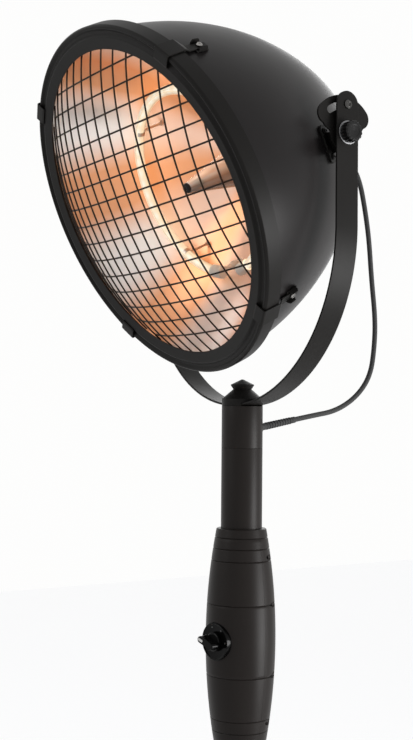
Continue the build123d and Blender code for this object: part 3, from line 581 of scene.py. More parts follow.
class Wiring:
    """Adds shader nodes; an input takes a value or a wire, which is a node and its output."""

    def __init__(self, tree: bpy.types.NodeTree) -> None:
        """Keeps the tree."""
        self.tree = tree

    def feed(self, inlet: bpy.types.NodeSocket, value: object) -> None:
        """Links a wire to an input, or else sets its value.

        Args:
            inlet: The input.
            value: The wire or the value.
        """
        if isinstance(value, tuple) and isinstance(value[0], bpy.types.Node):
            self.tree.links.new(value[0].outputs[value[1]], inlet)
        else:
            inlet.default_value = value

    def node(self, kind: str, *values: object, **settings: object) -> bpy.types.Node:
        """Adds a node.

        Args:
            kind: Type of the node.
            *values: What its first inputs take.
            **settings: What the input X takes is named in_X; the rest are the node's own.

        Returns:
            The new node.
        """
        made = self.tree.nodes.new(kind)
        for index, value in enumerate(values):
            self.feed(made.inputs[index], value)
        for key, value in settings.items():
            if key.startswith("in_"):
                self.feed(made.inputs[key[3:].replace("_", " ")], value)
            else:
                setattr(made, key, value)
        return made

    def at(self, kind: str = "Object") -> tuple:
        """Wire of the texture coordinates of a kind."""
        return self.node("ShaderNodeTexCoord"), kind

    def math(self, operation: str, *values: object, **settings: object) -> tuple:
        """Wire of a sum on values or wires."""
        return self.node("ShaderNodeMath", *values, operation=operation, **settings), "Value"

    def noise(self, vector: tuple, scale: object, detail: float = 2.0, **settings: object) -> tuple:
        """Wire of a noise texture at a place."""
        settings = {"in_Vector": vector, "in_Scale": scale, "in_Detail": detail, **settings}
        return self.node("ShaderNodeTexNoise", **settings), "Fac"

    def span(self, value: tuple, to: Tuple[float, float], of: Tuple[float, float] = (0.0, 1.0),
             **settings: object) -> tuple:
        """Maps a wire from one span of values to another.

        Args:
            value: The wire.
            to: Values that come out at the two ends.
            of: Values of the wire at the two ends.
            **settings: The node's own settings.

        Returns:
            The mapped wire.
        """
        return self.node("ShaderNodeMapRange", value, *of, *to, **settings), "Result"

    def mix(self, factor: tuple, low: tuple, high: tuple) -> tuple:
        """Mixes two colours.

        Args:
            factor: Wire of the second one's share.
            low: First colour or a wire of it.
            high: Second colour or a wire of it.

        Returns:
            Wire of the mixed colour.
        """
        made = self.node("ShaderNodeMix", factor, data_type="RGBA")
        self.feed(made.inputs[6], low)
        self.feed(made.inputs[7], high)
        return made, 2

    def relief(self, height: tuple, strength: float, distance: float) -> tuple:
        """Wire of a normal that follows a height."""
        return self.node("ShaderNodeBump", in_Strength=strength, in_Distance=distance,
                         in_Height=height), "Normal"


def shared_group(name: str, inlets: Sequence[tuple], outlets: Sequence[tuple],
                 fill: Callable[[Wiring, bpy.types.Node], Sequence[tuple]]) -> bpy.types.NodeTree:
    """Node group that is made once and shared by finishes.

    Args:
        name: Name of the group.
        inlets: Name, kind and, where it has one, the value of each input.
        outlets: Name and kind of each output.
        fill: Function of the group's wiring and input node that gives a wire for each output.

    Returns:
        The group.
    """
    group = bpy.data.node_groups.get(name)
    if group is not None:
        return group
    group = bpy.data.node_groups.new(name, "ShaderNodeTree")
    for way, sockets in (("INPUT", inlets), ("OUTPUT", outlets)):
        for label, kind, *value in sockets:
            made = group.interface.new_socket(name=label, in_out=way,
                                              socket_type="NodeSocket" + kind)
            if value:
                made.default_value = value[0]
    w = Wiring(group)
    wires = fill(w, w.node("NodeGroupInput"))
    w.node("NodeGroupOutput", *wires)
    return group


def grain_group() -> bpy.types.NodeTree:
    """Shared effect: fine orange-peel grain with a slower drift of tone.

    Returns:
        A group with inputs Vector, Scale and Drift, and outputs Height and Tone.
    """

    def fill(w: Wiring, source: bpy.types.Node) -> Sequence[tuple]:
        """Two noises of different scale.

        Args:
            w: Wiring of the group.
            source: The group's input node.

        Returns:
            Wires of the height and the tone.
        """
        where = (source, "Vector")
        return (w.noise(where, (source, "Scale"), 3.0, in_Roughness=0.55),
                w.noise(where, (source, "Drift"), 4.0, in_Roughness=0.6))

    inlets = [("Vector", "Vector"), ("Scale", "Float", 900.0), ("Drift", "Float", 14.0)]
    return shared_group("coat_grain", inlets, [("Height", "Float"), ("Tone", "Float")], fill)


def dust_group() -> bpy.types.NodeTree:
    """Shared effect: a thin film of dust on faces that look up, broken by noise.

    Returns:
        A group with inputs Color, Dust, Amount and Vector, and outputs Color and Mask.
    """

    def fill(w: Wiring, source: bpy.types.Node) -> Sequence[tuple]:
        """The mask is the upward share of the normal, times noise, times the amount.

        Args:
            w: Wiring of the group.
            source: The group's input node.

        Returns:
            Wires of the mixed colour and the mask.
        """
        normal = (w.node("ShaderNodeNewGeometry"), "Normal")
        upward = w.span((w.node("ShaderNodeSeparateXYZ", normal), "Z"), (0.0, 1.0), (0.25, 1.0))
        broken = w.math("MULTIPLY", upward, w.noise((source, "Vector"), 9.0, 6.0))
        mask = w.math("MULTIPLY", broken, (source, "Amount"))
        return w.mix(mask, (source, "Color"), (source, "Dust")), mask

    inlets = [("Color", "Color", (0.1, 0.1, 0.1, 1)), ("Dust", "Color", (0.35, 0.33, 0.3, 1)),
              ("Amount", "Float", 0.1), ("Vector", "Vector")]
    return shared_group("settled_dust", inlets, [("Color", "Color"), ("Mask", "Float")], fill)


def shade(colour: Sequence[float], share: float = 1.0) -> tuple:
    """The colour times a share, at most 1, with full alpha."""
    return (*[min(1.0, c * share) for c in colour], 1)


@dataclass(frozen=True)
class Finish:
    """Base of all finishes: a name and the call that gives its material, made once."""

    name: str

    def material(self) -> bpy.types.Material:
        """The material of this finish.

        Returns:
            The material, made at the first call.
        """
        made = bpy.data.materials.get(self.name)
        if made is None:
            made = bpy.data.materials.new(self.name)
            made.use_nodes = True
            made.node_tree.nodes.clear()
            w = Wiring(made.node_tree)
            shader = w.node("ShaderNodeBsdfPrincipled")
            w.node("ShaderNodeOutputMaterial", (shader, "BSDF"))
            for inlet, value in self.wire(w).items():
                w.feed(shader.inputs[inlet], value)
        return made

    def wire(self, w: Wiring) -> dict:
        """Builds the finish's own nodes in w and gives what each input of the shader takes."""
        raise NotImplementedError

    def dress(self, piece: Piece) -> None:
        """Puts the material on a piece."""
        piece.data.materials.clear()
        piece.data.materials.append(self.material())


@dataclass(frozen=True)
class PowderCoat(Finish):
    """Baked powder coat: orange-peel grain, slight drift of tone and gloss, thin dust on top."""

    colour: Triple = (0.02, 0.018, 0.017)
    roughness: float = 0.5
    grain: float = 900.0
    relief: float = 0.06
    dust: float = 0.06
    specular: float = 0.5

    def wire(self, w: Wiring) -> dict:
        """Grain to the bump, drift to colour and roughness, dust over the colour.

        Args:
            w: Wiring of the material.

        Returns:
            What each input of the shader takes.
        """
        where = w.at()
        grain = w.node("ShaderNodeGroup", node_tree=grain_group(), in_Scale=self.grain,
                       in_Vector=where)
        drift = (grain, "Tone")
        tone = w.mix(drift, shade(self.colour, 0.86), shade(self.colour, 1.16))
        dust = w.node("ShaderNodeGroup", node_tree=dust_group(), in_Amount=self.dust, in_Color=tone,
                      in_Vector=where)
        return {
            "Base Color": (dust, "Color"), "Specular IOR Level": self.specular,
            "Roughness": w.span(drift, (self.roughness - 0.05, self.roughness + 0.07)),
            "Normal": w.relief((grain, "Height"), self.relief, 0.0004),
        }


@dataclass(frozen=True)
class PlatedSteel(Finish):
    """Zinc-plated or plain steel with short drawn streaks and a cloudy lustre."""

    colour: Triple = (0.45, 0.45, 0.44)
    roughness: float = 0.32
    streak: Triple = (500.0, 500.0, 60.0)

    def wire(self, w: Wiring) -> dict:
        """Stretched noise to bump and roughness, slow noise to colour.

        Args:
            w: Wiring of the material.

        Returns:
            What each input of the shader takes.
        """
        where = w.at()
        streak = w.noise((w.node("ShaderNodeMapping", where, in_Scale=self.streak), "Vector"), 1.0)
        cloud = w.noise(where, 60.0, 4.0)
        return {
            "Base Color": w.mix(cloud, shade(self.colour, 0.8), shade(self.colour, 1.2)),
            "Roughness": w.span(streak, (self.roughness - 0.08, self.roughness + 0.1)),
            "Normal": w.relief(streak, 0.08, 0.0002), "Metallic": 1.0,
        }


@dataclass(frozen=True)
class HeadAxis:
    """The head's frame at rest: x across, y up in the ring's plane, z along the axis, forwards."""

    pivot_z: float = 1.948
    tilt: float = math.radians(25.9)

    def matrix(self) -> Array:
        """4 by 4 matrix of the frame."""
        way = (0, -math.cos(self.tilt), -math.sin(self.tilt))
        return frame_matrix((0, 0, self.pivot_z), (1, 0, 0), way)


@dataclass(frozen=True)
class SpunMirror(Finish):
    """Polished aluminium, spun on the head's axis: fine rings, and painted reflections in soft
    sectors.
    """

    # Painted reflections: the pale colour and the tint that the sectors lean to stand in for what the
    # metal mirrors, such as the lit ring and the studio lamps.
    pale: Triple = (0.95, 0.91, 0.89)
    painted_tint: Triple = (0.86, 0.41, 0.21)
    roughness: float = 0.24
    painted_tint_share: float = 0.56
    near_painted_tint_share: float = 0.80
    swing: float = 0.64
    near_swing: float = 0.22
    sectors: float = 6.0
    phase: float = math.radians(138.0)
    metal: float = 0.60
    axis: HeadAxis = HeadAxis()
    ring_scale: float = 640.0
    sector_scale: float = 1.7
    sector_share: float = 0.4
    swing_zone: Tuple[float, float] = (0.115, 0.165)
    painted_tint_zone: Tuple[float, float] = (0.10, 0.20)

    def wire(self, w: Wiring) -> dict:
        """Rings from the distance to the axis; painted reflection tint from the angle round it and
        slow noise.

        Args:
            w: Wiring of the material.

        Returns:
            What each input of the shader takes.
        """
        centre = w.node("ShaderNodeMapping", w.at(), vector_type="TEXTURE",
                        in_Location=(0.0, 0.0, self.axis.pivot_z),
                        in_Rotation=(math.pi / 2 + self.axis.tilt, 0.0, 0.0))
        split = w.node("ShaderNodeSeparateXYZ", (centre, "Vector"))
        x, y = (split, "X"), (split, "Y")
        flat = (w.node("ShaderNodeCombineXYZ", x, y), "Vector")
        distance = (w.node("ShaderNodeVectorMath", flat, operation="LENGTH"), "Value")
        direction = (w.node("ShaderNodeVectorMath", flat, operation="NORMALIZE"), "Vector")
        ring = w.node("ShaderNodeTexNoise", noise_dimensions="1D", in_Scale=self.ring_scale,
                      in_Detail=2.0, in_W=distance)
        # Painted light: sectors round the axis swing between the pale colour and the tint, with slow
        # noise, and the tint's share changes with the distance from the axis; this paints reflections
        # and shade into the base colour.
        sector = w.noise(direction, self.sector_scale, in_Roughness=0.4)
        angle = w.math("ARCTAN2", y, x)
        wave = w.math("SINE", w.math("MULTIPLY_ADD", angle, self.sectors, self.phase))
        soft, half = {"interpolation_type": "SMOOTHSTEP"}, self.sector_share / 2
        reach = w.span(distance, (self.near_swing, self.swing), self.swing_zone, **soft)
        level = w.span(distance, (self.near_painted_tint_share - half, self.painted_tint_share - half), self.painted_tint_zone,
                       **soft)
        tint = w.math("MULTIPLY_ADD", wave, reach, level)
        painted_tint_share = w.math("MULTIPLY_ADD", sector, self.sector_share, tint, use_clamp=True)
        return {
            "Base Color": w.mix(painted_tint_share, shade(self.pale), shade(self.painted_tint)),
            "Roughness": w.span((ring, "Fac"), (self.roughness - 0.008, self.roughness + 0.012)),
            "Normal": w.relief((ring, "Fac"), 0.01, 0.0001), "Metallic": self.metal,
        }


@dataclass(frozen=True)
class Moulded(Finish):
    """Moulded plastic: faint flow marks, a fine texture and a chosen gloss."""

    colour: Triple = (0.012, 0.012, 0.012)
    roughness: float = 0.3
    texture: float = 1500.0
    relief: float = 0.05
    specular: float = 0.5

    def wire(self, w: Wiring) -> dict:
        """Grain to the bump and roughness, slight drift in colour.

        Args:
            w: Wiring of the material.

        Returns:
            What each input of the shader takes.
        """
        grain = w.node("ShaderNodeGroup", node_tree=grain_group(), in_Scale=self.texture,
                       in_Drift=45.0, in_Vector=w.at())
        height = (grain, "Height")
        return {
            "Base Color": w.mix((grain, "Tone"), shade(self.colour, 0.85), shade(self.colour, 1.15)),
            "Roughness": w.span(height, (max(0.02, self.roughness - 0.04), self.roughness + 0.06)),
            "Normal": w.relief(height, self.relief, 0.0002), "Specular IOR Level": self.specular,
        }


@dataclass(frozen=True)
class CastIron(Finish):
    """Painted sand casting: coarse pimples and uneven gloss."""

    colour: Triple = (0.03, 0.03, 0.03)

    def wire(self, w: Wiring) -> dict:
        """Cell texture for the sand grain, noise for the paint.

        Args:
            w: Wiring of the material.

        Returns:
            What each input of the shader takes.
        """
        where = w.at()
        cells = w.node("ShaderNodeTexVoronoi", where, in_Scale=420.0)
        paint = w.noise(where, 30.0, 5.0)
        return {
            "Base Color": w.mix(paint, shade(self.colour, 0.7), shade(self.colour, 1.4)),
            "Roughness": w.span(paint, (0.5, 0.8)),
            "Normal": w.relief((cells, "Distance"), 0.4, 0.0006),
        }


@dataclass(frozen=True)
class GlowingQuartz(Finish):
    """Lit quartz tube: a cream glow with the windings of its coil showing along the inner side."""

    glow: Triple = (0.95, 0.72, 0.46)
    hot: Triple = (0.96, 0.87, 0.70)
    strength: float = 1.0
    heat: float = 8.5
    image: float = 0.40
    windings: float = 420.0

    def wire(self, w: Wiring) -> dict:
        """Bands along the tube's own UV map give the windings, the place round the tube their side.

        Args:
            w: Wiring of the material.

        Returns:
            What each input of the shader takes.
        """
        split = w.node("ShaderNodeSeparateXYZ", w.at("UV"))
        wave = w.math("SINE", w.math("MULTIPLY", (split, "X"), self.windings))
        side = w.math("COSINE", w.math("MULTIPLY", (split, "Y"), TAU))
        soft = {"interpolation_type": "SMOOTHSTEP"}
        band = w.span(side, (0.0, 1.0), (0.1, 0.9), **soft)
        mask = w.math("MULTIPLY", band, w.span(wave, (0.35, 1.0), (-1.0, 1.0)))
        edge = (w.node("ShaderNodeLayerWeight", in_Blend=0.5), "Facing")
        core = w.span(edge, (self.strength, self.strength * 0.45), (0.35, 0.85), **soft)
        rays = w.node("ShaderNodeLightPath")
        mirror = w.node("ShaderNodeMix", (rays, "Is Glossy Ray"), in_A=self.heat, in_B=self.image)
        eye = w.node("ShaderNodeMix", (rays, "Is Camera Ray"), in_A=(mirror, "Result"), in_B=1.0)
        return {
            "Emission Strength": w.math("MULTIPLY", core, (eye, "Result")),
            "Emission Color": w.mix(mask, shade(self.glow), shade(self.hot)),
            "Base Color": (0.04, 0.03, 0.02, 1), "Roughness": 0.1, "Coat Weight": 0.6,
        }


@dataclass(frozen=True)
class Ceramic(Finish):
    """Unglazed steatite: chalky, with faint specks."""

    colour: Triple = (0.72, 0.66, 0.56)

    def wire(self, w: Wiring) -> dict:
        """Specks and scorch in colour, fine grain in the bump.

        Args:
            w: Wiring of the material.

        Returns:
            What each input of the shader takes.
        """
        where = w.at()
        scorch = w.noise(where, 40.0, 4.0)
        return {
            "Base Color": w.mix(scorch, shade(self.colour, 0.62), shade(self.colour)),
            "Roughness": 0.7, "Normal": w.relief(w.noise(where, 700.0), 0.2, 0.0002),
        }


def seen_directly(w: Wiring) -> tuple:
    """Tells direct rays from light.

    Args:
        w: Wiring of the material or the world.

    Returns:
        Wire that is 1 for rays from the camera, off metal and through glass, and 0 for light.
    """
    rays = w.node("ShaderNodeLightPath")
    both = w.math("MAXIMUM", (rays, "Is Camera Ray"), (rays, "Is Glossy Ray"))
    return w.math("MAXIMUM", both, (rays, "Is Transmission Ray"))


@dataclass(frozen=True)
class PaleFloor(Finish):
    """Matte pale floor that looks as white as the background where nothing shades it."""

    colour: Triple = (0.80, 0.80, 0.79)
    lift: float = 0.52

    def wire(self, w: Wiring) -> dict:
        """Faint clouds in the colour; a lift that only direct rays see.

        Args:
            w: Wiring of the material.

        Returns:
            What each input of the shader takes.
        """
        return {
            "Base Color": w.mix(w.noise(w.at(), 0.6), shade(self.colour, 0.985), shade(self.colour)),
            "Emission Strength": w.math("MULTIPLY", seen_directly(w), self.lift),
            "Emission Color": (1, 1, 1, 1), "Roughness": 0.9, "Specular IOR Level": 0.1,
        }


DOME_COAT = PowderCoat("dome_powder_coat", (0.0095, 0.0082, 0.0082), 0.36, 1100.0, 0.05, 0.03, 0.13)
TRIM_COAT = PowderCoat("trim_powder_coat", (0.0085, 0.0078, 0.0072), 0.42, 1300.0, 0.05, 0.02, 0.09)
POST_COAT = PowderCoat("post_powder_coat", (0.0110, 0.0088, 0.0078), 0.40, 1000.0, 0.05, 0.03, 0.12)
GUARD_COAT = PowderCoat("guard_wire_coat", (0.014, 0.009, 0.006), 0.5, 1600.0, 0.04, 0.01, 0.2)
ZINC = PlatedSteel("zinc_plate")
GREY_WASHER = PlatedSteel("grey_washer_steel", (0.23, 0.23, 0.235), 0.42)
DARK_SCREW = PlatedSteel("blackened_screw_steel", (0.075, 0.073, 0.070), 0.26)
CLIP_SCREW = PlatedSteel("dull_screw_steel", (0.26, 0.25, 0.24), 0.30)
PLAIN_STEEL = PlatedSteel("plain_steel", (0.30, 0.29, 0.28), 0.42)
# Dish: painted reflection of the lit ring in orange, stronger near the centre, with pale painted
# streaks of the lamps in six sectors.
DISH_MIRROR = SpunMirror("spun_dish_mirror")
# Cone: one sector paints a highlight on one flank and painted shade, dark grey, on the other.
CONE_MIRROR = SpunMirror("spun_cone_mirror", (0.97, 0.97, 0.98), (0.22, 0.20, 0.20), 0.12, 0.45,
                         0.45, 0.80, 0.80, 1.0, math.radians(150.0), 0.7)
CLIP_WIRE = PlatedSteel("spring_wire", (0.62, 0.52, 0.44), 0.30)
GLOSS_BLACK = Moulded("gloss_black_moulding", (0.0015, 0.0015, 0.0015), 0.14, 1500.0, 0.02, 0.08)
MATTE_BLACK = Moulded("matte_black_moulding", (0.005, 0.0048, 0.0048), 0.34, 1500.0, 0.04, 0.20)
WHITE_INLAY = Moulded("white_inlay", (0.62, 0.62, 0.60), 0.35)
WORN_PRINT = Moulded("worn_grey_print", (0.03, 0.03, 0.03), 0.4)
FIBRE = Moulded("fibre_washer", (0.02, 0.018, 0.016), 0.65, 900.0, 0.2, 0.3)
RUBBER = Moulded("black_rubber", (0.007, 0.0065, 0.006), 0.5, 1200.0, 0.1, 0.25)
CAST = CastIron("cast_weight")
QUARTZ = GlowingQuartz("lit_quartz")
STEATITE = Ceramic("cream_ceramic", (0.82, 0.76, 0.68))


def register(piece: Piece, node: str, finish: Finish, body: str = "tower") -> None:
    """Dresses a piece, hides the CAD node that it replaces, lets it ride and logs it.

    Args:
        piece: The piece.
        node: The CAD node that it replaces; empty where another piece stands for it.
        finish: Its finish.
        body: The body that carries it.
    """
    if node:
        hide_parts(node)
    finish.dress(piece)
    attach(piece, body)
    LOG.info("piece %s rides on %s, %d faces", piece.name, body, len(piece.data.polygons))


def add(draft: MeshDraft, name: str, node: str, finish: Finish, body: str = "tower",
        smooth: float = SMOOTH, keep_uv: bool = False) -> None:
    """Builds a draft and registers the piece.

    Args:
        draft: The draft.
        name: Name of the piece.
        node: The CAD node that it replaces.
        finish: Its finish.
        body: The body that carries it.
        smooth: Edges flatter than this many degrees are smooth.
        keep_uv: Whether the draft's own coordinates are kept.
    """
    register(draft.build(name, smooth, keep_uv), node, finish, body)


# ---------------------------------------------------------------- base and post


def around(radius: float, degrees: Sequence[float]) -> List[Array]:
    """Upright frames on a circle round the post's axis."""
    return [moved(np.eye(4), *polar(radius, math.radians(angle))) for angle in degrees]


@dataclass
class BaseAssembly:
    """Round base: spun cover over the cast weight, flange and its screws."""

    radius: float = 0.250
    top: float = 0.052
    rim_top: float = 0.023
    rim_low: float = 0.007
    wall: float = 0.0015
    flat_r: float = 0.066
    bore_r: float = 0.0203
    plate_r: float = 0.048
    plate_top: float = 0.057
    spigot_r: float = 0.0233
    spigot_top: float = 0.117
    bolt_circle: float = 0.037
    bolt_angles: Tuple[int, ...] = (90, 210, 330)
    bolt_head_r: float = 0.0068
    bolt_head_top: float = 0.0618
    bolt_shank: Tuple[float, float] = (0.004, 0.027)
    feet_circle: float = 0.222
    feet_angles: Tuple[int, ...] = (30, 90, 150, 210, 270, 330)

    def cover(self) -> None:
        """Spun cover: flat crown, long cone and rounded rim, turned from one sheet outline."""
        line = [(self.bore_r, self.top), (self.flat_r, self.top), (self.radius, self.rim_top),
                (self.radius, self.rim_low)]
        outline = sheet_profile(rounded(line, 0.012, 10), self.wall)
        draft = MeshDraft().lathe(outline, segments=192)
        add(draft, "base_cover_spun", "base_cover", POST_COAT)

    def flange(self) -> None:
        """Turned flange with an eased rim and the spigot for the tube."""
        inner, low, high, top = self.bore_r, self.top, self.plate_top, self.spigot_top
        line = [(inner, low), (self.plate_r, low), (self.plate_r, high), (self.spigot_r, high),
                (self.spigot_r, top), (inner, top)]
        draft = MeshDraft().lathe(rounded(line, 0.0008, 4, True))
        add(draft, "post_flange_turned", "post_flange", POST_COAT)

    def bolts(self) -> None:
        """Three chamfered hexagon heads on the flange, each with its shank."""
        draft, low, r, top = MeshDraft(), self.plate_top, self.bolt_head_r, self.bolt_head_top
        outline = [(0, low), (r, low), (r, top - 0.001), (r - 0.0008, top), (0, top)]
        for spot in around(self.bolt_circle, self.bolt_angles):
            draft.lathe(outline, spot, 48, closed=False, shape=hexed(r + 0.0001))
            draft.pin(*self.bolt_shank, low, spot)
        add(draft, "flange_bolt_set", "flange_bolts", ZINC, smooth=25)

    def feet(self) -> None:
        """Six ribbed rubber feet."""
        draft = MeshDraft()
        outline = rounded([(0, 0.006), (0.015, 0.006), (0.0146, 0.0), (0.0125, 0.0), (0.0115, 0.0012),
                           (0.0095, 0.0), (0, 0.0)], 0.0006)
        for spot in around(self.feet_circle, self.feet_angles):
            draft.lathe(outline, spot, 32, closed=False)
        add(draft, "rubber_feet", "base_feet", RUBBER)

    def build(self) -> None:
        """Builds and dresses the base."""
        for make in (self.cover, self.flange, self.bolts, self.feet):
            make()


@dataclass
class PostAssembly:
    """Tubes of the post with eased ends, so that each seam reads as a fine line."""

    radius: float = 0.025
    wall: float = 0.0015
    ease: float = 0.0005
    tubes: Tuple[Tuple[str, float, float], ...] = (
        ("lower_pole", 0.057, 0.660), ("middle_pole", 0.660, 1.310),
        ("upper_tube", 1.430, 1.599), ("top_section", 1.599, 1.650),
    )
    screw_heights: Tuple[float, ...] = (0.085, 0.632, 0.688, 1.571)
    inlet_z: float = 0.190
    inlet_bore: float = 0.00325

    def tube(self, node: str, low: float, high: float) -> None:
        """One tube, turned round the post's axis from a ring-shaped outline with eased corners.

        Args:
            node: The CAD node that it replaces.
            low: Height of its lower end.
            high: Height of its upper end.
        """
        r, i = self.radius, self.radius - self.wall
        outline = rounded([(r, low), (r, high), (i, high), (i, low)], self.ease, 4, True)
        add(MeshDraft().lathe(outline, segments=128), node + "_tube", node, POST_COAT)

    def rear(self, height: float) -> Array:
        """Frame at a height on the post's axis whose z axis points to the rear."""
        return frame_matrix((0, 0, height), (1, 0, 0), (0, 1, 0))

    def locking_screws(self) -> None:
        """Small domed screws at the rear of the seams."""
        draft = MeshDraft()
        for height in self.screw_heights:
            spot = moved(self.rear(height), z=self.radius - 0.0002)
            draft.screw((0.0045, 0.0025, 0.0016, 0.0012), spot, 36)
        add(draft, "locking_screws", "pole_screws", TRIM_COAT)

    def inlet(self) -> None:
        """Rubber inlet of the mains lead at the rear: a stepped collar with a bore."""
        line = [(self.inlet_bore, 0.0218), (0.0065, 0.0218), (0.0065, 0.0252), (0.009, 0.0252),
                (0.009, 0.0275), (0.0072, 0.0310), (self.inlet_bore, 0.0310)]
        draft = MeshDraft().lathe(rounded(line, 0.0006, 4, True), self.rear(self.inlet_z), 48)
        add(draft, "mains_inlet", "mains_gland", RUBBER)

    def build(self) -> None:
        """Builds and dresses the post."""
        for each in self.tubes:
            self.tube(*each)
        self.locking_screws()
        self.inlet()


# ---------------------------------------------------------------- control housing and switch


@dataclass
class ControlHousing:
    """Barrel-shaped housing in two shells with ring grooves, screws, and the rotary switch."""

    centre: float = 1.370
    half: float = 0.132
    big_r: float = 0.0423
    end_r: float = 0.0302
    wall: float = 0.0026
    lip: float = 0.008
    bore_r: float = 0.0252
    end_ease: float = 0.0007
    turn: float = math.radians(9.0)
    grooves: Tuple[float, ...] = (0.0425, 0.094, 0.1085, 0.1215)
    groove_depth: float = 0.0009
    groove_half: float = 0.0009
    split_gap: float = 0.0001
    screw_places: Tuple[float, ...] = (0.098, -0.098, 0.042, -0.042)
    screw_angle: float = math.radians(120.0)
    screw_depth: float = 0.006
    plate_r: float = 0.0222
    plate_face: float = 0.0429
    dish_depth: float = 0.0012
    dial_start: float = math.radians(72.0)
    dial_step: float = math.radians(54.0)
    settings: int = 4
    dot_circle: float = 0.017
    grip_half: float = 0.0135
    grip_r: float = 0.00425
    grip_height: float = 0.0165
    grip_waist: float = 0.16

    def frame(self) -> Array:
        """Frame of the switch: x up, z out of the switch, origin on the post's axis."""
        out = (math.sin(self.turn), -math.cos(self.turn), 0)
        return frame_matrix((0, 0, self.centre), (0, 0, 1), out)

    def radius_at(self, z: Array) -> Array:
        """Barrel radius: an arc through both ends and the middle."""
        arc = (self.half**2 + (self.big_r - self.end_r) ** 2) / (2 * (self.big_r - self.end_r))
        return self.big_r - arc + np.sqrt(arc**2 - z**2)

    def groove_at(self, z: Array) -> Array:
        """Depth of the ring grooves: a smooth cosine dip at each place."""
        off = np.abs(np.abs(z)[:, None] - np.array(self.grooves)).min(1)
        return self.groove_depth * np.cos(math.pi / 2 * np.clip(off / self.groove_half, 0, 1)) ** 2

    def shell_outline(self) -> Array:
        """Outline of both shells.

        Returns:
            Outer face, collars and inner face, with heights that are dense at the grooves.
        """
        near = np.array(self.grooves)[:, None] + np.linspace(-1, 1, 9) * self.groove_half
        even = np.linspace(0, self.half - 0.0006, 28)
        z = np.unique(np.concatenate([even, near[near < self.half]]))
        z = np.concatenate([-z[:0:-1], z])
        end, inside = self.half, self.half - self.lip
        rim = self.radius_at(np.float64(end)) - self.end_ease
        back = np.linspace(inside, -inside, 24)
        return np.concatenate([
            [(self.bore_r, -end), (rim, -end)],
            np.column_stack([self.radius_at(z) - self.groove_at(z), z]),
            [(rim, end), (self.bore_r, end), (self.bore_r, inside)],
            np.column_stack([self.radius_at(back) - self.wall, back]), [(self.bore_r, -inside)],
        ])

    def shell(self, name: str, toward: float, cuts: Sequence[MeshDraft]) -> None:
        """Half of the barrel, turned half round; it stops a hair short, so that a fine seam shows.

        Args:
            name: Which half it is.
            toward: Direction of its middle, in radians.
            cuts: Bodies that are cut out of it.
        """
        gap = self.split_gap / self.big_r
        draft = MeshDraft().lathe(self.shell_outline(), moved(np.eye(4), z=self.centre), 72,
                                  start=toward - math.pi / 2 + gap, turn=math.pi - 2 * gap)
        piece = draft.build("housing_" + name + "_shell")
        cut_away(piece, [cut.build("cut") for cut in cuts])
        register(piece, "housing_" + name, POST_COAT)

    def shells(self) -> None:
        """Front shell with the hole for the switch, rear shell with the counterbores."""
        hole = MeshDraft().pin(self.plate_r + 0.0003, 0.02, 0.06, self.frame(), 64)
        bores = [MeshDraft().pin(0.0036, -0.05, -self.screw_depth, spot, 32)
                 for spot in self.screw_spots()]
        self.shell("front", self.turn - math.pi / 2, [hole])
        self.shell("rear", self.turn + math.pi / 2, bores)

    def screw_spots(self) -> List[Array]:
        """Places of the shell screws.

        Returns:
            Eight frames, along the switch's axis.
        """
        reach = self.radius_at(np.array(self.screw_places)) * math.sin(self.screw_angle)
        places = [(x, y * sign) for x, y in zip(self.screw_places, reach) for sign in (1, -1)]
        return [moved(self.frame(), *each) for each in places]

    def screws(self) -> None:
        """Eight socket screws seated in the rear shell's counterbores."""
        draft = MeshDraft()
        for spot in self.screw_spots():
            back = moved(spot, z=-self.screw_depth) @ np.diag([1.0, -1.0, -1.0, 1.0])
            draft.screw((0.0033, 0.0026, 0.0014, 0.0013), back, 30).pin(0.002, 0, -0.012, back, 12)
        add(draft, "housing_screw_set", "housing_screws", TRIM_COAT)

    def plate(self) -> None:
        """Round plate: a raised rim round a dished face, turned on the switch's axis."""
        face, low, bore = self.plate_face, self.plate_face - self.dish_depth, 0.0031
        line = [(bore, low), (self.plate_r - 0.0024, low), (self.plate_r - 0.0016, face),
                (self.plate_r, face), (self.plate_r, face - 0.009), (bore, face - 0.009)]
        draft = MeshDraft().lathe(rounded(line, 0.0006, 4, True), self.frame(), 96)
        add(draft, "switch_plate_turned", "switch_plate", GLOSS_BLACK)

    def dots(self) -> None:
        """A raised dot at each heat setting."""
        draft, face = MeshDraft(), self.plate_face - self.dish_depth
        outline = [(0, face), (0.0011, face), (0.0010, face + 0.0003), (0, face + 0.0003)]
        for step in range(self.settings):
            angle = self.dial_start - self.dial_step * step
            spot = moved(self.frame(), *polar(self.dot_circle, angle))
            draft.lathe(outline, spot, 20, closed=False)
        add(draft, "setting_dots", "dial_dots", WORN_PRINT)

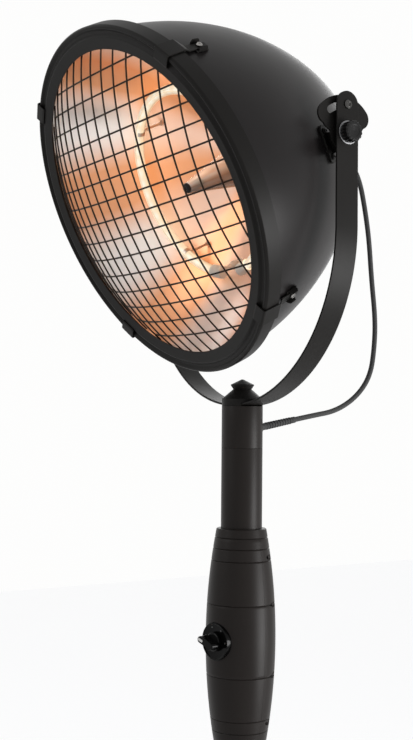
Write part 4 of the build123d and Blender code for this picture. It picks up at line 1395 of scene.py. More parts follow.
    def knob(self) -> None:
        """Bar grip on a round skirt, and the white inlay at its pointer end.

        The grip's outline is a slot: two half circles joined by straight sides, waisted a little in
        the middle by a cosine; its sides taper towards the top.
        """
        face = self.plate_face - self.dish_depth + 0.0004
        spot = turned(self.frame(), self.dial_start)
        skirt = rounded([(0, face), (0.0115, face), (0.0112, face + 0.0034), (0.0098, face + 0.0042),
                         (0, face + 0.0042)], 0.0006)
        angle = np.linspace(0, TAU, 96, endpoint=False)
        outline = polar(self.grip_r, angle)
        outline[:, 0] += np.sign(np.cos(angle)) * (self.grip_half - self.grip_r)
        along = np.clip(outline[:, 0] / self.grip_half, -1, 1)
        outline[:, 1] *= 1 - self.grip_waist * np.cos(along * math.pi / 2) ** 2
        low, high = face + 0.0038, face + self.grip_height
        levels = [(1.0, low), (0.985, high - 0.0016), (0.955, high - 0.0006), (0.88, high)]
        rings = np.stack([at_height(outline * [1 - (1 - k) * 0.35, k], h) for k, h in levels])
        grip = MeshDraft().lathe(skirt, spot, 72, closed=False)
        grip.grid(place(spot, rings), wrap_v=True, caps=True)
        add(grip, "switch_grip", "switch_knob", GLOSS_BLACK, "switch", 40)
        x, y = 0.004, 0.0016
        mark = rounded([(-x, -y), (x, -y), (x, y), (-x, y)], 0.0013, 5, True) + [0.0080, 0.0]
        inlay = MeshDraft().prism(mark, high - 0.0006, high + 0.0002, spot, 0.0001)
        add(inlay, "switch_pointer", "switch_marker", WHITE_INLAY, "switch")

    def build(self) -> None:
        """Builds and dresses the housing and the switch."""
        for make in (self.shells, self.screws, self.plate, self.dots, self.knob):
            make()


# ---------------------------------------------------------------- yoke, cap and finial


@dataclass
class YokeAssembly:
    """U-shaped strap with its cap, finial, washers, stop screws and the knobs."""

    post_top: float = 1.650
    outer_r: float = 0.198
    width: float = 0.030
    thickness: float = 0.0025
    pivot_z: float = 1.948
    stop_r: float = 0.031
    seat: float = 0.0001
    cap_r: float = 0.025
    cap_bore: float = 0.0042
    collar: float = 0.0085
    cap_height: float = 0.0205
    neck_r: float = 0.0112
    finial_r: float = 0.0142
    bolt_bore: float = 0.0041
    washer: float = 0.0016
    washer_r: float = 0.013
    knob_height: float = 0.0105
    knob_dips: int = 16
    knob_dip: float = 0.0009
    knob_face_r: float = 0.0095

    def strap(self) -> None:
        """Flat bar bent to a U: a half circle and two straight arms, its ends rounded.

        Near an end the width follows the chord of a circle as wide as the bar.
        """
        mid, end = self.outer_r - self.thickness / 2, self.width / 2
        bend_z = self.post_top + self.outer_r
        top = self.pivot_z + self.stop_r
        bend = polar(mid, np.linspace(-math.pi, 0, 121)) + [0, bend_z]
        tip = top + end * np.sin(np.linspace(0, math.pi / 2, 14))
        rise = np.concatenate([np.linspace(bend_z, top, 12)[1:-1], tip])
        arm = np.column_stack([np.full(len(rise), mid), rise])
        line = np.concatenate([arm[::-1] * [-1, 1], bend, arm])
        off = np.clip(line[:, 1] - top, 0, end * 0.9995)
        path, width = np.insert(line, 1, 0.0, axis=1), 2 * np.sqrt(end**2 - off**2)
        draft = MeshDraft().strip(path, width, self.thickness, np.array([0, 1.0, 0]), 0.0004)
        add(draft, "yoke_strap_bent", "yoke_strap", TRIM_COAT)

    def cap(self) -> None:
        """Turned cap: an eased collar, a short cone and a neck, with a saddle cut for the strap."""
        z, bore, top = self.post_top, self.cap_bore, self.post_top + self.cap_height
        outline = rounded([(bore, z), (self.cap_r, z), (self.cap_r, z + self.collar),
                           (self.neck_r, top), (bore, top)], 0.0009, 5, True)
        piece = MeshDraft().lathe(outline, segments=128).build("cone_cap_turned")
        arc = np.linspace(-0.2, 0.2, 33) - math.pi / 2
        inner = polar(self.outer_r - self.thickness - 0.0002, arc) + [0, z + self.outer_r]
        outer = at_height(inner[::-1, :1], z - 0.004)
        saddle = MeshDraft().prism(np.concatenate([inner, outer])[::-1], -0.0154, 0.0154,
                                   frame_matrix((0, 0, 0), (1, 0, 0), (0, -1, 0)))
        cut_away(piece, [saddle.build("cut")])
        register(piece, "cone_cap", TRIM_COAT)

    def finial(self) -> None:
        """Pointed nut: a neck that flares to a rim and closes in a low cone."""
        z, rim = self.post_top + self.cap_height, self.finial_r
        outline = rounded([(0, z), (self.neck_r, z), (rim, z + 0.0046), (rim, z + 0.0056),
                           (0.0012, z + 0.0119), (0, z + 0.0120)], 0.0006)
        draft = MeshDraft().lathe(outline, closed=False)
        add(draft, "finial_turned", "finial", TRIM_COAT, smooth=24)

    def washers(self) -> None:
        """Bright washers under the knobs, with eased rims."""
        draft, low, high = MeshDraft(), self.outer_r, self.outer_r + self.washer
        bore, rim = self.bolt_bore, self.washer_r
        line = [(bore, low), (rim, low), (rim, high), (bore, high)]
        for side in Side:
            draft.lathe(rounded(line, 0.0004, 4, True), side.frame(self.pivot_z), 64)
        add(draft, "knob_washers", "strap_washers", GREY_WASHER)

    def stop_screws(self) -> None:
        """Shoulder screws of the strap's ends: domed head outside, pin in the slot, nut inside."""
        draft = MeshDraft()
        pin = [(0, 0.1880), (0.0030, 0.1880), (0.0030, 0.18820), (0.0038, 0.18820), (0.0038, 0.1954),
               (0.0030, 0.1954), (0.0030, 0.198), (0, 0.198)]
        nut = [(0, 0.1842), (0.0050, 0.1842), (0.0056, 0.1848), (0.0056, 0.1882), (0, 0.1882)]
        for side in Side:
            spot = side.frame(self.pivot_z + self.stop_r)
            draft.screw((0.0050, 0.0028, 0.0020, 0.0014), moved(spot, z=self.outer_r), 40)
            draft.lathe(pin, spot, 28, closed=False)
            draft.lathe(nut, spot, 36, closed=False, shape=hexed(0.0057))
        add(draft, "stop_screw_set", "stop_screws", DARK_SCREW, smooth=28)

    def knob(self, side: Side) -> None:
        """Knurled knob: a turned outline whose outer radius dips many times round it.

        Args:
            side: Arm that the knob sits on.
        """
        low = self.outer_r + self.washer + self.seat
        high, bore, name = low + self.knob_height, self.bolt_bore, side.name.lower()

        def scallop(radius: Array, angle: Array) -> Array:
            """Outer radii lose up to a dip by the fourth power of a cosine."""
            dip = self.knob_dip * np.cos(angle * self.knob_dips / 2) ** 4
            return np.where(radius > self.knob_face_r, radius - dip, radius)

        line = [(bore, low), (0.0112, low), (0.0116, low + 0.0008), (0.0116, high - 0.0014),
                (0.0104, high), (0.0066, high), (0.0062, high - 0.0006), (0, high - 0.0006),
                (0, high - 0.002), (bore, high - 0.002)]
        profile = np.maximum(rounded(line, 0.0005, 4, True), 0)
        draft = MeshDraft().lathe(profile, side.frame(self.pivot_z), 192, shape=scallop)
        add(draft, "tilt_knob_" + name + "_knurled", "tilt_knob_" + name, MATTE_BLACK,
            "knob_" + name, 40)

    def build(self) -> None:
        """Builds and dresses the yoke."""
        for make in (self.strap, self.cap, self.finial, self.stop_screws, self.washers):
            make()
        for side in Side:
            self.knob(side)


# ---------------------------------------------------------------- lamp head


@dataclass
class LampHead:
    """Deep bowl, its ring and guard, clips, dish, cone and ring lamp."""

    axis: HeadAxis = field(default_factory=HeadAxis)
    mouth_r: float = 0.202
    widest: float = 0.151
    flank: float = 0.340
    crown: float = 0.123
    wall: float = 0.0012
    front: float = 0.1458
    rim_r: float = 0.2084
    ring_r: float = 0.2113
    ring_front: float = 0.158
    ring_back: float = 0.137
    hoop_r: float = 0.196
    hoop_back: float = 0.1466
    hoop_face: float = 0.1536
    hoop_sheet: float = 0.149
    pitch: float = 0.0227
    wires_up: int = 16
    wires_across: int = 15
    wire_r: float = 0.00105
    wire_gap: float = 0.00002
    guard_dome: Triple = (192.56, 0.925e-3, 0.89e-8)
    guard_turn: float = math.radians(0.95)
    dish_wall: float = 0.0008
    tip_s: float = 0.0903
    lamp_r: float = 0.1145
    lamp_s: float = 0.074
    tube_r: float = 0.006
    lamp_gap: float = 9.0
    cap_length: float = 0.020
    holder_loop: float = 0.0067
    holder_foot: float = 0.0375
    clip_thickness: float = 0.0015
    clip_gap: float = 0.0003
    lug_gap: float = 0.00045
    lug_s: float = 0.107
    lug_floor: float = 0.00105
    ear_x: float = 0.00725
    corners: Tuple[float, ...] = (45.0, 135.0, 225.0, 315.0)
    clip_knee: float = 0.124
    clip_tip: float = 0.097
    hook_width: float = 0.011
    step_width: float = 0.011
    tongue_less: float = 0.003
    dish_flat: Tuple[float, float] = (0.033, -0.016)
    dish_middle: Tuple[float, float] = (0.114, 0.036)
    dish_mouth_r: float = 0.1975
    cone_tip: Tuple[float, float] = (0.0066, 0.0902)
    cone_foot: Tuple[float, float] = (0.0309, -0.0135)
    loop_ends: Tuple[float, float] = (-235.0, 55.0)
    loop_section: Tuple[float, float] = (0.005, 0.0009)
    holder_r: float = 0.0016
    holder_top: float = 0.0677
    holder_nut: Tuple[float, float] = (0.0034, 0.003)
    cap_r: float = 0.008
    gland_drop: float = math.radians(22.0)
    gland_r: float = 0.0080
    gland_taper: float = 0.24
    gland_rib: float = 0.00025
    gland_pitch: float = 0.002

    def flank_r(self, s: Array, grow: float = 0.0) -> Array:
        """Radius of the bowl's flank at a place along the axis."""
        return self.mouth_r - self.flank + np.sqrt((self.flank + grow) ** 2 - (self.widest - s) ** 2)

    def crown_s(self) -> float:
        """Place of the crown arc's centre along the axis, where it is tangent to the flank."""
        x = self.mouth_r - self.flank
        return self.widest - math.sqrt((self.flank - self.crown) ** 2 - x**2)

    def bowl_line(self, grow: float) -> Array:
        """The bowl's outline from its apex to its front: a crown arc tangent to a flank arc.

        Args:
            grow: How far the outline lies outside the outer face.

        Returns:
            An (n, 2) outline of radius and place along the axis.
        """
        x = self.mouth_r - self.flank
        meet = math.atan2(self.widest - self.crown_s(), -x)
        start = math.asin((self.widest - self.front) / (self.flank + grow))
        over, beside = np.linspace(math.pi / 2, meet, 46), np.linspace(meet, start, 64)[1:]
        top = polar(self.crown + grow, over) * [1, -1] + [0, self.crown_s()]
        side = polar(self.flank + grow, beside) * [1, -1] + [x, self.widest]
        top[0, 0] = 0.0
        return np.concatenate([top, side])

    def bowl(self) -> None:
        """Spun bowl with its turned-out rim."""
        outer, inner, back = self.bowl_line(0.0), self.bowl_line(-self.wall), self.front - self.wall
        edge = outer[-1, 0]
        rim = [(edge + 0.0006, back + 0.0001), (edge + 0.0016, back), (self.rim_r, back),
               (self.rim_r, self.front)]
        outline = np.concatenate([outer[:-1], rim, inner[::-1]])
        draft = MeshDraft().lathe(outline, self.axis.matrix(), 192, closed=False)
        add(draft, "bowl_spun", "dome_shell", DOME_COAT, "head")

    def ring(self) -> None:
        """Pressed ring: flange, bead, valley, rounded rim and band, from one sheet outline."""
        f = self.ring_front
        line = [(0.1842, f - 0.0018), (0.198, f), (0.2012, f - 0.0029), (0.2042, f - 0.0029),
                (0.2068, f - 0.0002), (0.2092, f - 0.0002), (self.ring_r, f - 0.0030),
                (self.ring_r, self.ring_back)]
        outline = sheet_profile(rounded(line, 0.0026, 7), self.wall)
        draft = MeshDraft().lathe(outline, self.axis.matrix(), 192)
        add(draft, "ring_pressed", "bezel_ring", TRIM_COAT, "head", 40)

    def guard_height(self, r: Array) -> Array:
        """Height of the mesh over the tilt axis: a curve of the second and fourth power of r."""
        mm, (top, square, fourth) = r * 1000, self.guard_dome
        return (top - square * mm**2 - fourth * mm**4) / 1000

    def guard(self) -> None:
        """Domed mesh of two crossing layers of wires, and the angle hoop that holds it.

        Each wire is a line a = constant; its other coordinate runs over the chord of the hoop, and
        its height follows the dome. All wires of one layer are worked out as one array.
        """
        draft, frame = MeshDraft(), turned(self.axis.matrix(), self.guard_turn)
        for across, count in ((False, self.wires_up), (True, self.wires_across)):
            a = ((np.arange(count) - (count - 1) / 2) * self.pitch)[:, None]
            reach = np.sqrt((self.hoop_r - 0.0005) ** 2 - (np.abs(a) + self.wire_r) ** 2)
            b = reach * np.linspace(-1, 1, 49)
            a = np.broadcast_to(a, b.shape)
            layer = (-1 if across else 1) * (self.wire_r + self.wire_gap)
            height = self.guard_height(np.hypot(a, b)) + layer
            path = np.stack([b, a, height] if across else [a, b, height], -1)
            draft.tube(place(frame, path), self.wire_r, frame[:3, int(across)], 8)
        back, face, sheet = self.hoop_back, self.hoop_face, self.hoop_sheet
        hoop = [(self.hoop_r, back), (0.204, back), (0.204, face), (0.2022, face), (0.2022, sheet),
                (self.hoop_r, sheet)]
        draft.lathe(rounded(hoop, 0.0005, 3, True), self.axis.matrix(), 160)
        add(draft, "guard_mesh", "wire_guard", GUARD_COAT, "head", 45)

    def dish(self) -> None:
        """Dish: flat centre, one deep arc and a thin flange under the hoop."""
        flat, mouth = self.dish_flat, (self.dish_mouth_r, self.front)
        centre, radius = circle_through(flat, self.dish_middle, mouth)
        a0, a1 = (math.atan2(p[1] - centre[1], p[0] - centre[0]) for p in (flat, mouth))
        angle = np.linspace(a0, a1 if a1 > a0 else a1 + TAU, 72)
        face, back = (centre + polar(radius + grow, angle) for grow in (0.0, self.dish_wall))
        back = back[::-1]
        low = flat[1] - self.dish_wall
        outline = np.concatenate([
            [(0.0032, flat[1]), (0.030, flat[1])], face,
            [(0.1985, 0.1466), (self.rim_r, 0.1466), (self.rim_r, 0.1459), (0.1996, 0.1459)],
            back[back[:, 1] < 0.1455], [(0.030, low), (0.0032, low)],
        ])
        draft = MeshDraft().lathe(outline, self.axis.matrix(), 192)
        add(draft, "dish_spun", "reflector", DISH_MIRROR, "head", 50)

    def cone(self) -> None:
        """Centre cone, and the dark socket screw at its tip with its rod and nut."""
        line = [(0.0034, 0.0898), (0.0034, 0.0902), self.cone_tip, self.cone_foot,
                (0.0312, -0.0158), (0.029, -0.0158), (0.0285, -0.0135), (0.0055, 0.0885)]
        frame = self.axis.matrix()
        cone = MeshDraft().lathe(rounded(line, 0.0009, 5, True), frame, 128)
        screw = MeshDraft().screw((0.0065, 0.0042, 0.0026, 0.0022), moved(frame, z=self.tip_s), 48)
        screw.pin(0.003, -0.052, 0.0905, frame).pin(0.006, -0.0219, -0.0169, frame, 36, 0.0061)
        add(cone, "centre_cone", "reflector_cone", CONE_MIRROR, "head", 40)
        add(screw, "cone_screw", "centre_screw", MATTE_BLACK, "head")

    def lamp_arc(self, start: float, end: float, steps: int, s: float) -> Array:
        """Points round the lamp's circle in world coordinates.

        Args:
            start: First angle from straight down, in degrees.
            end: Last angle.
            steps: Number of points.
            s: Place along the head's axis.

        Returns:
            An (n, 3) array.
        """
        flat = polar(self.lamp_r, np.radians(np.linspace(start, end, steps) - 90))
        return place(self.axis.matrix(), at_height(flat, s))

    def lamp(self) -> None:
        """Quartz ring with its length along it as UV, and its ceramic ends with legs and bands."""
        axis = self.axis.matrix()[:3, 2]
        gap, cap = self.lamp_gap, math.degrees(self.cap_length / self.lamp_r)
        path = self.lamp_arc(gap + cap, 360 - gap - cap, 181, self.lamp_s)
        quartz = MeshDraft().tube(path, self.tube_r, axis, 20)
        draft, swell = MeshDraft(), np.full(15, self.cap_r)
        swell[[0, -1]], swell[[5, 9]] = 0.0070, 0.0076
        leg = rounded([(0, 0.022), (0.0025, 0.022), (0.0025, 0.044), (0.0045, 0.046), (0.0045, 0.052),
                       (0.0025, 0.054), (0.0025, 0.068), (0, 0.068)], 0.0008)
        for sign in (1, -1):
            body = self.lamp_arc(sign * gap, sign * (gap + cap), 15, self.lamp_s)
            draft.tube(body, swell, axis, 24)
            foot = self.lamp_arc(sign * (gap + cap / 2), 0, 1, 0.0)[0]
            foot = frame_matrix(foot, (1, 0, 0), axis)
            draft.lathe(leg, foot, 24, closed=False)
        add(quartz, "quartz_tube", "quartz_ring", QUARTZ, "head", 60, keep_uv=True)
        add(draft, "lamp_ends", "lamp_caps", STEATITE, "head")

    def corner_frames(self) -> List[Array]:
        """Frames of the clips and holders: x outwards, y round the ring, z along the axis."""
        head = self.axis.matrix()
        return [turned(head, math.radians(angle)) for angle in self.corners]

    def holders(self) -> None:
        """Spring clips round the quartz on slim posts, each with a nut on the dish."""
        draft, low, (nut_r, nut_height) = MeshDraft(), self.holder_foot, self.holder_nut
        first, last = np.radians(self.loop_ends)
        flat = polar(self.holder_loop, np.linspace(first, last, 33))
        line = np.insert(flat + [self.lamp_r, self.lamp_s], 1, 0.0, axis=1)
        for spot in self.corner_frames():
            draft.strip(place(spot, line), *self.loop_section, spot[:3, 1], 0.0002)
            post = moved(spot, self.lamp_r)
            draft.pin(self.holder_r, low, self.holder_top, post, 14)
            draft.pin(nut_r, low, low + nut_height, post, 24, nut_r + 0.0001)
        add(draft, "lamp_spring_clips", "lamp_holders", CLIP_WIRE, "head")

    def clips(self) -> None:
        """Bent clips: hook over the ring's face, leg along its band, a step and a narrow tongue."""
        half = self.clip_thickness / 2
        lift = self.clip_gap + self.clip_thickness + self.lug_gap + half
        face, side = (edge + self.clip_gap + half for edge in (self.ring_front, self.ring_r))
        knee, tip = self.clip_knee, self.clip_tip
        line = [(0.1978, face - 0.0006), (0.2000, face), (side, face), (side, self.ring_back - 0.002),
                (self.flank_r(knee) + lift, knee), (self.flank_r(tip) + lift, tip)]
        line = rounded(line, 0.0022, 7)
        s = line[:, 1]
        wider = np.clip((s - knee + 0.0005) / 0.004, 0, 1)
        narrower = np.clip((tip + 0.0015 - s) / 0.0015, 0, 1)
        width = self.hook_width + self.step_width * wider - self.tongue_less * narrower
        path, draft = np.insert(line, 1, 0.0, axis=1), MeshDraft()
        for spot in self.corner_frames():
            draft.strip(place(spot, path), width, self.clip_thickness, spot[:3, 1], 0.0004)
        add(draft, "ring_clip_set", "ring_clips", TRIM_COAT, "head", 40)

    def skin_frame(self, spot: Array, s: float) -> Array:
        """Frame on the bowl's skin in a clip's plane: z out of the skin, x round the bowl.

        Args:
            spot: Frame of the clip.
            s: Place along the axis.

        Returns:
            The frame.
        """
        lean = math.asin((self.widest - s) / self.flank)
        out = spot[:3, 0] * math.cos(lean) - spot[:3, 2] * math.sin(lean)
        return frame_matrix(moved(spot, self.flank_r(s), z=s)[:3, 3], spot[:3, 1], out)

    def lugs(self) -> None:
        """U-shaped lugs with two ears each, and the screws through the clips' tongues."""
        lugs, screws = MeshDraft(), MeshDraft()
        x, y, c = 0.008, 0.0085, 0.0006
        floor = np.array([(x, -y + c), (x, y - c), (x - c, y), (-x + c, y), (-x, y - c),
                          (-x, -y + c), (-x + c, -y), (x - c, -y)])
        ear = rounded([(-0.0062, 0.0), (0.0062, 0.0), (0.0062, 0.0042), (0.0040, 0.0072),
                       (-0.0040, 0.0072), (-0.0062, 0.0042)], 0.0012, 4, True)
        half = self.clip_thickness / 2
        for spot in self.corner_frames():
            seat = self.skin_frame(spot, self.lug_s)
            lugs.prism(floor, -half, half, moved(seat, z=self.lug_floor), 0.0003)
            for sign in (1, -1):
                wall = moved(seat, sign * self.ear_x, z=self.clip_gap)
                across, out = seat[:3, 0], seat[:3, 2]
                wall[:3, :3] = np.stack([np.cross(out, across), out, across], 1)
                lugs.prism(ear, -half, half, wall, 0.0003)
            top = moved(seat, z=0.0040)
            screws.screw(SMALL_SCREW, top, 32).pin(0.002, -0.009, 0.0, top, 12)
        add(lugs, "clip_lug_set", "clip_lugs", TRIM_COAT, "head")
        add(screws, "clip_screw_set", "clip_screws", CLIP_SCREW, "head")

    def gland(self) -> None:
        """Cable gland on the crown: hexagon, ribbed nose and neck."""
        head, drop, low, top = self.axis.matrix(), self.gland_drop, 0.005, 0.0149
        out = -head[:3, 1] * math.sin(drop) - head[:3, 2] * math.cos(drop)
        spot = frame_matrix(moved(head, z=self.crown_s())[:3, 3] + out * self.crown, (1, 0, 0), out)
        nut = rounded([(0, 0.0006), (0.0090, 0.0006), (0.0095, 0.0012), (0.0095, 0.0044),
                       (0.0088, low), (0, low)], 0.0004)
        s = np.linspace(low, top, 60)
        wave = np.sign(np.sin((s - low) * TAU / self.gland_pitch))
        ribs = self.gland_r - (s - low) * self.gland_taper + self.gland_rib * wave
        nose = np.concatenate([[(0, 0.0048)], np.column_stack([ribs, s]),
                               [(0.0037, 0.015), (0, 0.015)]])
        draft = MeshDraft().lathe(nut, spot, 72, closed=False, shape=hexed(0.0096))
        draft.lathe(nose, spot, 48, closed=False).pin(0.0056, -0.008, 0.0008, spot, 32)
        add(draft, "head_cable_gland", "head_gland", RUBBER, "head", 35)

    def build(self) -> None:
        """Builds and dresses the lamp head."""
        for make in (self.bowl, self.ring, self.guard, self.clips, self.lugs, self.dish, self.cone,
                     self.lamp, self.holders, self.gland):
            make()


@dataclass
class TiltBrackets:
    """Quadrant plates with arc slots, their webs, pads, screws, pivot bolts and spacers."""

    head: LampHead = field(default_factory=LampHead)
    inner_x: float = 0.1885
    thickness: float = 0.0025
    stop_r: float = 0.031
    band_half: float = 0.0115
    lobe: float = math.radians(50.0)
    hub_r: float = 0.018
    slot_half: float = 0.0043
    slot_front: float = math.radians(38.0)
    slot_rear: float = math.radians(20.0)
    pad_s: float = 0.0115
    pad_u: float = -0.0047
    pad_half: float = 0.022
    pad_width: float = 0.006
    pad_gap: float = 0.0003
    pad_edge: float = 0.0024
    pad_top: float = 0.0028
    web_rise: float = 0.00125
    screw_u: float = 0.0145
    screw_seat: float = 0.0030
    nut_drop: float = 0.0045
    spacer_r: float = 0.011
    spacer_bore: float = 0.0041
    bolt_end: float = 0.2071
    strap_x: float = 0.1954

    def outline(self) -> Array:
        """Outer outline in polar form about the pivot.

        Returns:
            An (n, 2) outline of band, round lobes and hub, eased between them.
        """
        phi = np.linspace(-math.pi, math.pi, 241)[:-1]
        delta = np.abs(phi) - self.lobe
        limit = math.asin(self.band_half / self.stop_r)
        inside = np.clip(delta, 0, limit * 0.999)
        chord = np.maximum(self.band_half**2 - (self.stop_r * np.sin(inside)) ** 2, 0)
        lobe = self.stop_r * np.cos(inside) + np.sqrt(chord)
        ease = np.clip((delta - limit * 0.93) / math.radians(16), 0, 1)
        ease = ease**2 * (3 - 2 * ease)
        eased = lobe * (1 - ease) + self.hub_r * ease
        radius = np.where(delta < 0, self.stop_r + self.band_half, eased)
        return polar(radius, phi)[:, ::-1]

    def slot(self) -> Array:
        """Arc slot about the pivot.

        Returns:
            An (n, 2) outline: outer arc, round end, inner arc, round end.
        """
        a = np.linspace(self.slot_front, -self.slot_rear, 40)
        bend = np.linspace(0, math.pi, 12)[1:-1, None]
        r, h = self.stop_r, self.slot_half

        def end(angle: float, sign: float) -> Array:
            """Half circle about an end of the arc; sign is -1 at the rear end and 1 in front."""
            radial, along = polar(1.0, angle)[::-1], polar(sign, -angle)
            return r * radial + h * (np.cos(bend) * radial * -sign + np.sin(bend) * along)

        return np.concatenate([polar(r + h, a)[:, ::-1], end(a[-1], -1.0),
                               polar(r - h, a[::-1])[:, ::-1], end(a[0], 1.0)])

    def plate(self, side: Side) -> None:
        """Cut plate of one side; its own x points to the mouth.

        Args:
            side: Arm of the yoke that it hangs on.
        """
        frame, name = np.eye(4), side.name.lower()
        frame[:3, 0], frame[:3, 1], frame[:3, 2] = (0, -1, 0), (0, 0, 1), (-1, 0, 0)
        frame[:3, 3] = (side.value * (self.inner_x + self.thickness / 2), 0, self.head.axis.pivot_z)
        outlines = [self.outline(), self.slot()]
        piece = plate_with_holes("bracket_plate_" + name, outlines, self.thickness, frame, 0.0003)
        register(piece, "bracket_" + name, TRIM_COAT, "head")

    def skin_patch(self, side: Side, u: Array, s: Array, off: float) -> Array:
        """Points over the bowl's flank.

        Args:
            side: Side of the bowl.
            u: Places round the bowl.
            s: Places along the axis.
            off: Height over the skin.

        Returns:
            The points, with x, y and z as the last axis.
        """
        lean, r0 = np.arcsin((self.head.widest - s) / self.head.flank), self.head.flank_r(s)
        turn, radius = np.arcsin(u / r0), r0 + off * np.cos(lean)
        local = [side.value * radius * np.cos(turn), radius * np.sin(turn), s - off * np.sin(lean)]
        return place(self.head.axis.matrix(), np.stack(local, -1))

    def foot(self, side: Side) -> None:
        """Pad that follows the bowl's skin and the web that joins it to the plate.

        The pad is a slot-shaped grid of two layers over the skin; the web is a thin bar from the
        plate's inner face down to the pad's rear edge.

        Args:
            side: Side of the bowl.
        """
        draft, v, half_w = MeshDraft(), np.linspace(-1, 1, 33), self.pad_width
        end = np.clip((np.abs(v) * self.pad_half - (self.pad_half - half_w)) / half_w, 0, 1)
        w = half_w * np.sqrt(np.clip(1 - end**2, 0.0004, 1))
        u = self.pad_u + np.repeat((v * self.pad_half)[:, None], 4, 1)
        s = self.pad_s + w[:, None] * np.array([-1.0, -0.98, 0.98, 1.0])
        low = self.skin_patch(side, u, s, self.pad_gap)
        high = self.skin_patch(side, u[:, 1:3], s[:, 1:3], self.pad_top)
        edge = self.skin_patch(side, u[:, [0, 3]], s[:, [0, 3]], self.pad_edge)
        rings = np.concatenate([low[:, :1], edge[:, :1], high, edge[:, 1:], low[:, 3:]], 1)
        draft.grid(rings, wrap_v=True, caps=True)
        web_s = self.pad_s - half_w + self.web_rise
        steps, frame = np.linspace(0, 1, 9), self.head.axis.matrix()
        first, last = self.head.flank_r(web_s) + 0.0006, self.inner_x + 0.0012
        x = side.value * (first + (last - first) * steps)
        path = np.column_stack([x, np.full(9, self.pad_u), np.full(9, web_s)])
        width = 0.020 + 0.004 * np.cos(steps * math.pi / 2)
        draft.strip(place(frame, path), width, self.thickness, frame[:3, 1], 0.0004)
        name = "bracket_foot_" + side.name.lower()
        add(draft, name, "", TRIM_COAT, "head", 35)

    def pad_screws(self) -> None:
        """Four round-head screws that hold the pads, with their nuts inside the bowl."""
        draft = MeshDraft()
        for side in Side:
            for u in (self.pad_u + self.screw_u, self.pad_u - self.screw_u):
                low, high = (self.skin_patch(side, u, self.pad_s, off)
                             for off in (0.0, self.screw_seat))
                out = unit(high - low)
                top, nut = (frame_matrix(spot, (0, 0, 1), out)
                            for spot in (high, low - out * self.nut_drop))
                draft.screw(SMALL_SCREW, top, 32).pin(0.002, -0.0082, 0.0, top, 12)
                draft.pin(0.0036, 0, 0.003, nut, 24, 0.0037)
        add(draft, "pad_screw_set", "bracket_screws", TRIM_COAT, "head")

    def pivots(self) -> None:
        """Pivot bolts with hexagon heads inside the plates, and the spacers outside them."""
        bolts, spacers, x = MeshDraft(), MeshDraft(), self.inner_x
        head = [(0, x - 0.0022), (0.0046, x - 0.0022), (0.005, x - 0.0018), (0.005, x), (0, x)]
        low, high, bore, rim = x + self.thickness, self.strap_x, self.spacer_bore, self.spacer_r
        ring = rounded([(bore, low), (rim, low), (rim, high), (bore, high)], 0.0005, 4, True)
        for side in Side:
            spot = side.frame(self.head.axis.pivot_z)
            bolts.lathe(head, spot, 36, closed=False, shape=hexed(0.0051))
            bolts.pin(0.004, x - 0.0002, self.bolt_end, spot, 32)
            spacers.lathe(ring, spot, 48)
        add(bolts, "pivot_bolt_set", "pivot_bolts", ZINC, "head")
        add(spacers, "spacer_set", "bracket_spacers", FIBRE, "head")

    def build(self) -> None:
        """Builds and dresses the brackets."""
        for side in Side:
            self.plate(side)
            self.foot(side)
        self.pad_screws()
        self.pivots()


# ---------------------------------------------------------------- lead between head and post


